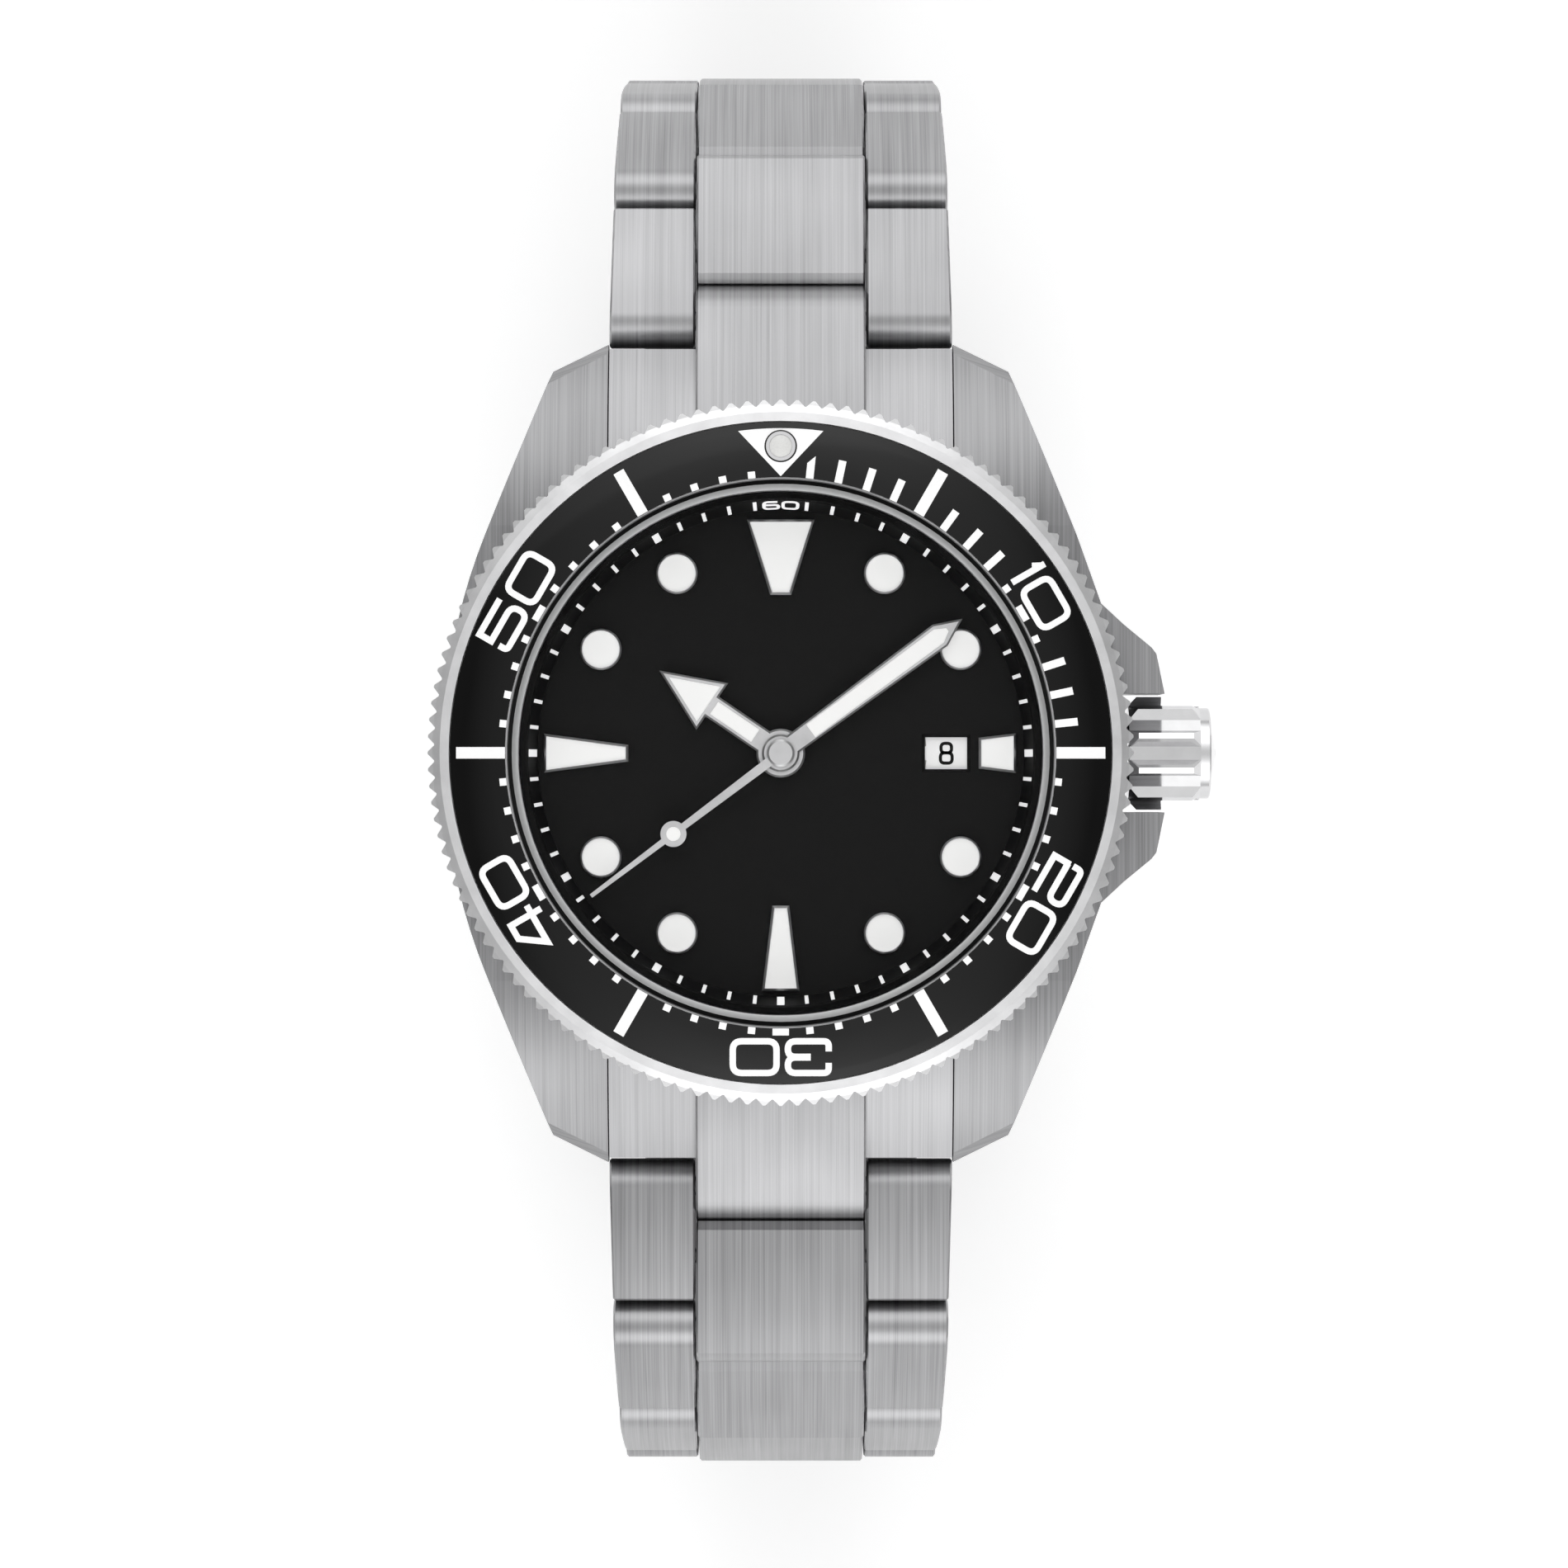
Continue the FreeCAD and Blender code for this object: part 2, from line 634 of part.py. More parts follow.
def casing_screws():
    screws = []
    for angle in CASE_SCREW_ANGLES:
        x, y = polar(CASE_SCREW_PLACE_R, angle)
        screw = fused([cylinder(0.88, 2.52, 2.95, x, y), cylinder(0.4, 2.9, 4.9, x, y)])
        slot = moved(spun(block((-1, 1), (-0.12, 0.12), (2.4, 2.68)), angle), x, y)
        screws.append(screw.cut(slot))
    return screws


def arbor_holes(low, high):
    holes = [cylinder(PIVOT_R + PIVOT_FIT, low, high, *at) for at in (THIRD_AT, ESCAPE_AT, BALANCE_AT)]
    holes.append(cylinder(BARREL_PIVOT_R + PIVOT_FIT, low, high, *BARREL_AT))
    return holes


def main_plate():
    plate = cylinder(PLATE_R, PLATE_BOTTOM, PLATE_TOP)
    cuts = arbor_holes(4, 7)
    cuts.append(cylinder(CANNON_R + 0.05, 4, 7))
    cuts.append(cylinder(PIVOT_R + PIVOT_FIT, 4, 7, *MOTION_AT))
    cuts.append(cylinder(PIVOT_R + PIVOT_FIT, 4, 5.6, *PALLET_AT))
    # pocket for the winding pinion and slot for the stem
    cuts.append(block((9.9, 12.0), (-1.3, 1.3), (4, 7)))
    cuts.append(along_x(Part.makeCylinder(STEM_R + 0.08, 12, V(0, 0, 7.5))))
    return plate.cut(cuts)


def bridges():
    """Train bridge, balance cock and pallet cock, each with its pillars up to the main plate."""
    pivot_hole = PIVOT_R + PIVOT_FIT
    train = cylinder(12.9, BRIDGE_BOTTOM, BRIDGE_TOP).cut(cylinder(BALANCE_ROOM_R, 2, 4, *BALANCE_AT))
    train = train.cut(arbor_holes(2, 4) + [cylinder(pivot_hole, 2, 4)])
    pillars = [cylinder(0.7, BRIDGE_TOP, PLATE_BOTTOM, *polar(11.9, angle)) for angle in (28, 150, 200, 250)]
    rotor_post = cylinder(0.42, 1.55, BRIDGE_BOTTOM)
    train = fused([train, rotor_post] + pillars)

    half = 1.1
    arm = block((BALANCE_REACH - 1.0, PLATE_R - 0.2), (-half, half), (BRIDGE_BOTTOM, COCK_TOP))
    post = block((PLATE_R - 0.35, PLATE_R), (-half, half), (BRIDGE_BOTTOM, PLATE_BOTTOM))
    cock = spun(fused([arm, post]), ESCAPE_ANGLE).cut(cylinder(pivot_hole, 2, 4, *BALANCE_AT))

    offset, pillar_r, bar_low, bar_high = 2.3, 0.4, 3.83, 3.98
    x, y = PALLET_AT
    across = offset + pillar_r
    bar = moved(spun(block((-0.5, 0.5), (-across, across), (bar_low, bar_high)), ESCAPE_ANGLE), x, y)
    ends = []
    for shift in (-offset, offset):
        at = (x + shift * PALLET_SIDE[0], y + shift * PALLET_SIDE[1])
        ends.append(cylinder(pillar_r, bar_high, PLATE_BOTTOM, *at))
    pallet = fused([bar] + ends).cut(cylinder(pivot_hole, 3, 4.5, x, y))
    return [train, cock, pallet]


def rotor():
    """Half disc with a heavy rim, on a hub that turns on the bridge's post."""
    low = ROTOR_BOTTOM
    web_top = low + 0.35
    rim_top = low + 1.05
    rim_in = ROTOR_R - 2.7
    web = turned([(0, low), (rim_in + 0.1, low), (rim_in + 0.1, web_top), (0, web_top)], 180)
    rim = turned([(rim_in, low), (ROTOR_R, low), (ROTOR_R, rim_top), (rim_in, rim_top)], 180)
    hub = cylinder(1.5, low, 2.4)
    opening = turned([(2.4, 1), (9.6, 1), (9.6, 3), (2.4, 3)], 50)
    body = fused([web, rim, hub]).cut(spun(opening, 20)).cut(spun(opening, 110))
    return spun(body.cut(cylinder(0.47, 1, 3)), 200)


def going_phase(towards, teeth, has_tooth):
    """Phase that puts a tooth, or a gap, in the given direction."""
    return towards if has_tooth else towards + 180.0 / teeth


def arbor_of(radius):
    return cylinder(radius, ARBOR_BOTTOM, ARBOR_TOP)


def centre_wheel():
    """Centre wheel, its pinion, and the cannon pinion on one hollow arbor."""
    phase = going_phase(THIRD_ANGLE, CENTRE_TEETH, True)
    plate = wheel(CENTRE_TEETH, CENTRE_MODULE, 4.5, 4.65, 1.0, CANNON_R, 4, phase)
    phase = going_phase(BARREL_ANGLE, CENTRE_PINION_TEETH, False)
    pinion = gear(CENTRE_PINION_TEETH, BARREL_MODULE, 3.95, 4.35, 0.3, phase)
    phase = going_phase(MOTION_ANGLE, CANNON_TEETH, True)
    cannon = gear(CANNON_TEETH, MOTION_MODULE, 6.2, 6.48, CANNON_R, phase)
    arbor = tube(CANNON_R, 0.2, 3.95, 8.9)
    return fused([plate, pinion, cannon, arbor])


def fourth_wheel():
    """Fourth wheel with its pinion; the long arbor carries the seconds hand."""
    phase = going_phase(ESCAPE_ANGLE, FOURTH_TEETH, True)
    plate = wheel(FOURTH_TEETH, ESCAPE_MODULE, 3.42, 3.55, 0.8, 0.1, 5, phase)
    phase = going_phase(THIRD_ANGLE, FOURTH_PINION_TEETH, False)
    pinion = gear(FOURTH_PINION_TEETH, FOURTH_PINION_MODULE, 3.55, 3.86, 0.1, phase)
    arbor = cylinder(SECONDS_ARBOR_R, ARBOR_BOTTOM, SECONDS_CAP_TOP - 0.13)
    return fused([plate, pinion, arbor])


def third_wheel():
    towards_centre = THIRD_ANGLE + 180
    phase = going_phase(towards_centre, THIRD_TEETH, True)
    plate = wheel(THIRD_TEETH, FOURTH_PINION_MODULE, 3.65, 3.8, 0.8, 0.1, 5, phase)
    phase = going_phase(towards_centre, THIRD_PINION_TEETH, False)
    pinion = gear(THIRD_PINION_TEETH, CENTRE_MODULE, 4.42, 4.75, 0.1, phase)
    return moved(fused([plate, pinion, arbor_of(PIVOT_R)]), *THIRD_AT)


def escape_wheel():
    """Hooked teeth on a ring with two spokes, and a small pinion."""
    root, tip = 1.45, 1.9
    outline = []
    for tooth in range(ESCAPE_TEETH):
        start = tooth * 360.0 / ESCAPE_TEETH
        outline += [polar(root, start), polar(tip, start + 3)]
        outline += [polar(tip, start + 6), polar(root, start + 15)]
    ring = prism(outline, 4.1, 4.22).cut(tube(1.15, 0.45, 4, 5).cut(block((-2, 2), (-0.13, 0.13), (3, 6))))
    phase = going_phase(ESCAPE_ANGLE + 180, ESCAPE_PINION_TEETH, False)
    pinion = gear(ESCAPE_PINION_TEETH, ESCAPE_MODULE, 3.4, 3.62, 0.1, phase)
    return moved(fused([ring, pinion, arbor_of(PIVOT_R)]), *ESCAPE_AT)


def pallet_fork():
    """Anchor with two arms beside the escape wheel and a lever with a notch towards the balance."""
    half = [
        (-1.95, 0.08), (-2.1, 0.3), (-1.95, 0.35), (-1.75, 0.16), (-0.35, 0.4), (0.45, 1.55), (0.75, 1.45),
        (0.35, 0.35),
    ]
    anchor = half + [(x, -y) for x, y in reversed(half)]
    lever = prism(anchor, 4.1, 4.22)
    body = fused([lever, cylinder(PIVOT_R, 3.86, 5.4)])
    return moved(spun(body, ESCAPE_ANGLE + 180), *PALLET_AT)


def balance_wheel():
    rim = tube(BALANCE_R, BALANCE_R - 0.35, 3.42, 3.72)
    arms = [spun(block((0, BALANCE_R - 0.2), (-0.17, 0.17), (3.48, 3.66)), angle) for angle in (0, 120, 240)]
    roller = cylinder(0.55, 3.95, 4.08)
    nut = Part.makeCylinder(0.1, 0.4, V(BALANCE_R - 0.65, 0, 3.57), V(1, 0, 0))
    screws = [spun(nut, 30 + 60 * i) for i in range(6)]
    return moved(fused([rim, roller, arbor_of(PIVOT_R)] + arms + screws), *BALANCE_AT)


def hairspring():
    """Flat spiral of half turns, each half turn a little wider than the last."""
    turns = 7
    step = 0.16
    wall = 0.05
    halves = []
    for i in range(2 * turns):
        radius = 0.3 + step * (i + 1) / 2
        centre = V(step / 4 if i % 2 else -step / 4, 0, 3.08)
        outer = Part.makeCylinder(radius, 0.18, centre, V(0, 0, 1), 180)
        inner = Part.makeCylinder(radius - wall, 0.18, centre, V(0, 0, 1), 180)
        half = outer.cut(inner)
        halves.append(half if i % 2 else spun(half, 180, (centre.x, 0, 0)))
    return moved(fused(halves), *BALANCE_AT)


def mainspring_barrel():
    """Toothed drum, with the arbor it turns on."""
    phase = going_phase(BARREL_ANGLE + 180, BARREL_TEETH, True)
    drum = gear(BARREL_TEETH, BARREL_MODULE, 3.9, 4.4, 0.1, phase)
    recess = tube(4.2, 1.2, 4.2, 5)
    return moved(fused([drum.cut(recess), arbor_of(BARREL_PIVOT_R)]), *BARREL_AT)


def minute_wheel():
    towards_centre = MOTION_ANGLE + 180
    phase = going_phase(towards_centre, MOTION_TEETH, False)
    plate = gear(MOTION_TEETH, MOTION_MODULE, 6.25, 6.4, 0.1, phase)
    phase = going_phase(towards_centre, MOTION_PINION_TEETH, True)
    pinion = gear(MOTION_PINION_TEETH, MOTION_MODULE, 6.4, 6.8, 0.1, phase)
    return moved(fused([plate, pinion, cylinder(PIVOT_R, 5.2, 6.85)]), *MOTION_AT)


def hour_wheel():
    phase = going_phase(MOTION_ANGLE, HOUR_TEETH, False)
    plate = gear(HOUR_TEETH, MOTION_MODULE, 6.6, 6.78, CANNON_R + 0.05, phase)
    pipe = tube(HOUR_TUBE_R, CANNON_R + 0.05, 6.6, 8.46)
    return fused([plate, pipe])


# ---------------------------------------------------------------- winding
def winding_pinion():
    outline = toothed(12, 0.75, 1.0, 0.7, 0.3)
    body = prism(outline, 10.2, 11.6).cut(cylinder(STEM_R + 0.04, 9, 13))
    return along_x(body)


def winding_stem():
    return along_x(cylinder(STEM_R, 8.4, 24.6))


def crown():
    """Broad ridges, bevelled at both ends, a stepped polished end, and a bore that slides over the tube."""
    # half a step on, so that a groove faces straight up
    ridges = toothed(CROWN_RIDGES, CROWN_ROOT_R, CROWN_R, 0.56, 0.16, 180 / CROWN_RIDGES)
    star = prism(ridges, CROWN_IN_X, CROWN_END_X)
    profile = [
        (0, CROWN_IN_X), (CROWN_ROOT_R, CROWN_IN_X), (CROWN_R + 0.02, CROWN_IN_X + 0.57),
        (CROWN_R + 0.02, CROWN_RIM_X - 0.5), (CROWN_ROOT_R + 0.05, CROWN_RIM_X), (2.83, CROWN_RIM_X),
        (2.83, 26.45), (2.75, 26.55), (0, CROWN_END_X),
    ]
    body = star.common(turned(profile))
    body = body.cut(tube(TUBE_R + 0.32, 0.8, CROWN_IN_X - 1, 24.2))
    body = body.cut([cylinder(STEM_R, 20, 24.6), cylinder(0.9, CROWN_IN_X - 1, 22.0)])
    return along_x(body)


# ---------------------------------------------------------------- bracelet
def half_width(row):
    """Half of the bracelet's width at the hinge that ends a row; row 0 is at the lugs."""
    rows = len(BENDS["12"])
    return WIDTH_HALF_CASE + (WIDTH_HALF_CLASP - WIDTH_HALF_CASE) * row / rows


def on_side_faces(planes):
    """Picks the edges that lie in one of the given X planes."""
    def wanted(edge):
        return any(all(abs(v.X - x) < 1e-6 for v in edge.Vertexes) for x in planes)
    return wanted


def centre_piece():
    """Centre link: hollow-ended by the tongue before it, and ended by its own rounded tongue."""
    near_r = TONGUE_R + LINK_GAP
    near_y = math.sqrt(near_r ** 2 - HALF_THICK ** 2)
    far_y = PITCH + math.sqrt(TONGUE_R ** 2 - HALF_THICK ** 2)
    shoulder_z = HALF_THICK - LINK_SHOULDER
    shoulder_y = math.sqrt(near_r ** 2 - shoulder_z ** 2)
    top_y = shoulder_y + LINK_SHOULDER
    piece = side_prism([
        (top_y, HALF_THICK), (((top_y + far_y) / 2, HALF_THICK + LINK_BOW), (far_y, HALF_THICK)),
        ((PITCH + TONGUE_R, 0), (far_y, -HALF_THICK)),
        (near_y, -HALF_THICK), ((near_r, 0), (shoulder_y, shoulder_z)),
    ], -CENTRE_HALF, CENTRE_HALF)
    return soften(piece, LINK_BEVEL, on_side_faces((-CENTRE_HALF, CENTRE_HALF)))


def side_piece(near_half, far_half):
    """Outer link on +X: rounded about the hinge before it, square at its far end, tapering."""
    far = PITCH - KNUCKLE_R - LINK_GAP
    nose = 0.12
    piece = side_prism([
        (0, KNUCKLE_R), ((far / 2, KNUCKLE_R + LINK_BOW), (far - nose, KNUCKLE_R)),
        (far, KNUCKLE_R - nose), (far, nose - KNUCKLE_R),
        (far - nose, -KNUCKLE_R), (0, -KNUCKLE_R), ((-KNUCKLE_R, 0), (0, KNUCKLE_R)),
    ], SIDE_IN, WIDTH_HALF_CASE + 1)
    slope = (far_half - near_half) / PITCH
    taper = prism([
        (SIDE_IN - 1, -3), (near_half - 3 * slope, -3), (near_half + (PITCH + 3) * slope, PITCH + 3),
        (SIDE_IN - 1, PITCH + 3),
    ], -5, 5)
    piece = piece.common(taper)

    def on_flank(vertex):
        outer = near_half + slope * vertex.Y
        return abs(vertex.X - SIDE_IN) < 1e-5 or abs(vertex.X - outer) < 1e-5

    def wanted(edge):
        inner = all(abs(v.X - SIDE_IN) < 1e-5 for v in edge.Vertexes)
        outer = all(abs(v.X - SIDE_IN) > 1 for v in edge.Vertexes)
        return all(on_flank(v) for v in edge.Vertexes) and (inner or outer)
    return soften(piece, LINK_BEVEL, wanted)


def x_bar(radius, half_length, y, z=0.0):
    return Part.makeCylinder(radius, 2 * half_length, V(-half_length, y, z), V(1, 0, 0))


def link_row(row, pin_half, hinge_bore):
    """One rigid row in its own frame: the hinge before it at the origin, its own hinge at PITCH along +Y."""
    near_half, far_half = half_width(row - 1), half_width(row)
    fixed_y = PITCH / 2
    fixed_half = near_half - 1.0
    side = side_piece(near_half, far_half)
    side = side.cut([x_bar(PIN_R + PIN_FIT, 15, 0), x_bar(FIXED_PIN_R, fixed_half, fixed_y)])
    centre = centre_piece().cut([x_bar(hinge_bore, 10, PITCH), x_bar(FIXED_PIN_R, 10, fixed_y)])
    solids = [centre, side, mirrored_x(side), x_bar(FIXED_PIN_R, fixed_half, fixed_y)]
    if pin_half:
        solids.append(x_bar(PIN_R, pin_half, PITCH))
    return solids


def polar_at_hinge(degrees):
    """Point of the first hinge's tongue circle, that many degrees above +Y."""
    y, z = polar(TONGUE_R, degrees)
    return HINGE_Y + y, HINGE_Z + z


def end_link(side):
    """Fills the space between case and bracelet. Its raised middle ends in a tongue for the first row."""
    flank_end = HINGE_Y - KNUCKLE_R - LINK_GAP
    drop = HINGE_Z - HALF_THICK
    rise = HINGE_Z + HALF_THICK
    body = side_prism([
        (15.0, drop), (flank_end, drop), (flank_end, rise), ((21.3, 7.2), (15.0, 8.7)),
    ], -LUG_GAP_HALF + 0.08, LUG_GAP_HALF - 0.08)
    far_y = HINGE_Y + math.sqrt(TONGUE_R ** 2 - HALF_THICK ** 2)
    middle = side_prism([
        (15.0, drop), (far_y, drop), (polar_at_hinge(0), polar_at_hinge(END_LINK_CREST)),
        ((22.2, 7.2 + END_LINK_RAISE), (15.0, 8.55 + END_LINK_RAISE)),
    ], -CENTRE_HALF, CENTRE_HALF)
    middle = soften(middle, LINK_BEVEL, on_side_faces((-CENTRE_HALF, CENTRE_HALF)))
    link = body.fuse(middle).removeSplitter()
    link = link.cut([
        cylinder(BODY_R + 0.08, 0, 10), x_bar(BAR_R, 12, BAR_Y, BAR_Z), x_bar(PIN_R, 12, HINGE_Y, HINGE_Z),
    ])
    pin = x_bar(PIN_R, WIDTH_HALF_CASE - 0.15, HINGE_Y, HINGE_Z)
    return [spun(solid, 0 if side > 0 else 180) for solid in (link, pin)]


def strand_frames(strand):
    """Hinge points (y, z) and headings in degrees below +Y of a strand, as if it hung on the +Y side."""
    y, z, heading = HINGE_Y, HINGE_Z, 0.0
    frames = []
    for bend in BENDS[strand]:
        heading += bend
        frames.append((y, z, heading))
        y += PITCH * math.cos(math.radians(heading))
        z -= PITCH * math.sin(math.radians(heading))
    return frames, (y, z, heading)


def place_row(solids, strand, frame):
    y, z, heading = frame
    placed = [moved(spun(solid, -heading, axis=(1, 0, 0)), 0, y, z) for solid in solids]
    return placed if strand == "12" else [spun(solid, 180) for solid in placed]


# ---------------------------------------------------------------- clasp
def clasp_cover(length):
    """Bowed channel with two side walls, forked at its far end round the blade's ears and the last link."""
    middle = length / 2
    end = length + 1.2
    outline = [
        (-1.2, COVER_OUT - 0.35), (-0.9, COVER_OUT),
        ((middle, COVER_OUT + COVER_BOW), (end - 0.3, COVER_OUT)),
        (end, COVER_OUT - 0.35), (end, 0.2), (end - 0.8, -1.1), (0.4, -1.1), (-0.9, 0.2), (-1.2, 1.2),
    ]
    hollow = [
        (-3, -3), (-3, COVER_IN), (-0.9, COVER_IN),
        ((middle, COVER_IN + COVER_BOW), (end - 0.3, COVER_IN)), (end + 2, COVER_IN), (end + 2, -3),
    ]
    body = side_prism(outline, -CLASP_WALL_OUT, CLASP_WALL_OUT)
    body = soften(body, 0.2, on_side_faces((-CLASP_WALL_OUT, CLASP_WALL_OUT)))
    fork_start = length - BLADE_HINGE_BACK - 2.0
    cuts = [
        side_prism(hollow, -CLASP_WALL_IN, CLASP_WALL_IN),
        block((-RAIL_IN, RAIL_IN), (fork_start, length + 3), (-3, 6)),
        x_bar(PIN_R, CLASP_WALL_IN + 0.4, 0),
        x_bar(BLADE_PIN_R, CLASP_WALL_IN + 0.4, length - BLADE_HINGE_BACK, BLADE_HINGE_W),
        x_bar(PUSHER_R + 0.03, 12, PUSHER_Y, PUSHER_W),
    ]
    return body.cut(cuts)


def clasp_pins(length):
    """Spring bar for the last link and hinge pin for the long blade."""
    return [
        x_bar(PIN_R, CLASP_WALL_IN + 0.4, 0),
        x_bar(BLADE_PIN_R, CLASP_WALL_IN + 0.4, length - BLADE_HINGE_BACK, BLADE_HINGE_W),
    ]


def bowed_bar(ends, offsets, low, high):
    """Bar between two (y, w) ends, bowed outwards; offsets are its two sides from that line."""
    (y0, w0), (y1, w1) = ends
    under, over = offsets
    middle = (y0 + y1) / 2
    crest = (w0 + w1) / 2 + BLADE_BOW
    return side_prism([
        (y0, w0 + over), ((middle, crest + over), (y1, w1 + over)),
        (y1, w1 + under), ((middle, crest + under), (y0, w0 + under)),
    ], low, high)


def long_blade(length):
    """Two rails joined by a plate, with an eye at each end, and the pin for the short blade."""
    far = length - BLADE_HINGE_BACK
    line = ((MID_HINGE_Y, MID_HINGE_W), (far, BLADE_HINGE_W))
    rails = []
    for low in (-RAIL_OUT, RAIL_IN):
        high = low + RAIL_OUT - RAIL_IN
        rails.append(bowed_bar(line, (-0.9, 0.9), low, high))
        for y, w in ((MID_HINGE_Y, MID_HINGE_W), (far, BLADE_HINGE_W)):
            rails.append(Part.makeCylinder(BLADE_EYE_R, high - low, V(low, y, w), V(1, 0, 0)))
    plate = bowed_bar(line, (0.15, 0.75), -RAIL_OUT, RAIL_OUT)
    plate = plate.common(block((-RAIL_OUT, RAIL_OUT), (MID_HINGE_Y + 3.0, far - 3.0), (-5, 5)))
    slot = block((-2.5, 2.5), (MID_HINGE_Y + 6.0, far - 6.0), (0, 5))
    body = fused(rails + [plate]).cut([
        x_bar(BLADE_PIN_R + PIN_FIT, 12, far, BLADE_HINGE_W),
        x_bar(BLADE_PIN_R, 12, MID_HINGE_Y, MID_HINGE_W),
        slot,
    ])
    return [body, x_bar(BLADE_PIN_R, RAIL_OUT, MID_HINGE_Y, MID_HINGE_W)]


def short_blade(length):
    """Two arms joined by a plate; the forked far end reaches round the other strand's last link."""
    line = ((MID_HINGE_Y, ARM_W), (length, ARM_W))
    arms = []
    for low in (-ARM_OUT, ARM_IN):
        high = low + ARM_OUT - ARM_IN
        arms.append(bowed_bar(line, (-0.65, 0.65), low, high))
        eye = Part.makeCylinder(BLADE_EYE_R, high - low, V(low, MID_HINGE_Y, MID_HINGE_W), V(1, 0, 0))
        ear = Part.makeCylinder(EAR_R, high - low, V(low, length, 0), V(1, 0, 0))
        arms += [eye, ear]
    plate = bowed_bar(line, (-0.65, 0.15), -ARM_OUT, ARM_OUT)
    plate = plate.common(block((-ARM_OUT, ARM_OUT), (MID_HINGE_Y + 3.5, length - 3.2), (-5, 5)))
    slot = block((-2.0, 2.0), (MID_HINGE_Y + 6.5, length - 6.5), (-3, 3))
    return fused(arms + [plate]).cut([
        x_bar(BLADE_PIN_R + PIN_FIT, 12, MID_HINGE_Y, MID_HINGE_W),
        x_bar(PIN_R + PIN_FIT, 12, length, 0),
        slot,
    ])


def clasp_pusher():
    """Button on +X: a head outside the wall and a shank through it with a retaining flange."""
    head = Part.makeCylinder(1.25, 0.7, V(CLASP_WALL_OUT + 0.55, PUSHER_Y, PUSHER_W), V(1, 0, 0))
    head = soften(head, 0.15, on_side_faces([CLASP_WALL_OUT + 1.25]))
    shank = Part.makeCylinder(PUSHER_R, 2.5, V(CLASP_WALL_IN - 0.9, PUSHER_Y, PUSHER_W), V(1, 0, 0))
    flange = Part.makeCylinder(1.1, 0.4, V(CLASP_WALL_IN - 0.9, PUSHER_Y, PUSHER_W), V(1, 0, 0))
    return fused([head, shank, flange])


def build_bracelet():
    ends = {}
    save("end_links", end_link(1) + end_link(-1))
    for strand in ("12", "6"):
        frames, end = strand_frames(strand)
        ends[strand] = end
        last = len(frames)
        for row, frame in enumerate(frames, 1):
            pin_half = half_width(row) - 0.15
            bore = PIN_R
            if row == last:
                # the last hinge is a short spring bar on one side, and the clasp's own bar on the other
                pin_half = CENTRE_HALF - 0.1 if strand == "12" else None
                bore = PIN_R if strand == "12" else PIN_R + PIN_FIT
            save(f"link_{strand}_{row}", place_row(link_row(row, pin_half, bore), strand, frame))
    return ends


def build_clasp(ends):
    """The clasp spans the gap between the two strands; its length follows from their ends."""
    from_y, from_z = -ends["6"][0], ends["6"][1]
    to_y, to_z = ends["12"][0], ends["12"][1]
    length = math.hypot(to_y - from_y, to_z - from_z)
    slope = math.degrees(math.atan2(to_z - from_z, to_y - from_y))

    def placed(solids):
        """Turn the clasp's own outward side, +Z, to face away from the wrist, then move it into place."""
        result = []
        for solid in solids:
            flipped = solid.mirror(V(0, 0, 0), V(0, 0, 1))
            result.append(moved(spun(flipped, slope, axis=(1, 0, 0)), 0, from_y, from_z))
        return result

    pusher = clasp_pusher()
    save("clasp_cover", placed([clasp_cover(length)]))
    save("clasp_pins", placed(clasp_pins(length)))
    save("clasp_long_blade", placed(long_blade(length)))
    save("clasp_short_blade", placed([short_blade(length)]))
    save("clasp_pusher_right", placed([pusher]))
    save("clasp_pusher_left", placed([mirrored_x(pusher)]))
    print("clasp length", round(length, 3), "slope", round(slope, 3))


def main():
    os.makedirs(OUT, exist_ok=True)
    for make in (
        case_middle, case_back, crystal, crown_tube, bezel, bezel_insert, bezel_click_spring, rehaut_ring,
        dial, date_disc, hour_hand, minute_hand, minute_hand_lume, seconds_hand, seconds_hand_lume,
        movement_ring, main_plate, rotor, centre_wheel, fourth_wheel, third_wheel, escape_wheel, pallet_fork,
        balance_wheel, hairspring, mainspring_barrel, minute_wheel, hour_wheel, winding_pinion, winding_stem,
        crown,
    ):
        save(make.__name__, [make()])
    for make in (
        gaskets, spring_bars, bezel_pearl, hour_markers, hour_marker_lume, hour_hand_lume, casing_screws,
        bridges,
    ):
        save(make.__name__, make())
    ends = build_bracelet()
    build_clasp(ends)


main()
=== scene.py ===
import json
import math

import bmesh
import bpy
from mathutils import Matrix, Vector
from mathutils.bvhtree import BVHTree
from mathutils.geometry import tessellate_polygon


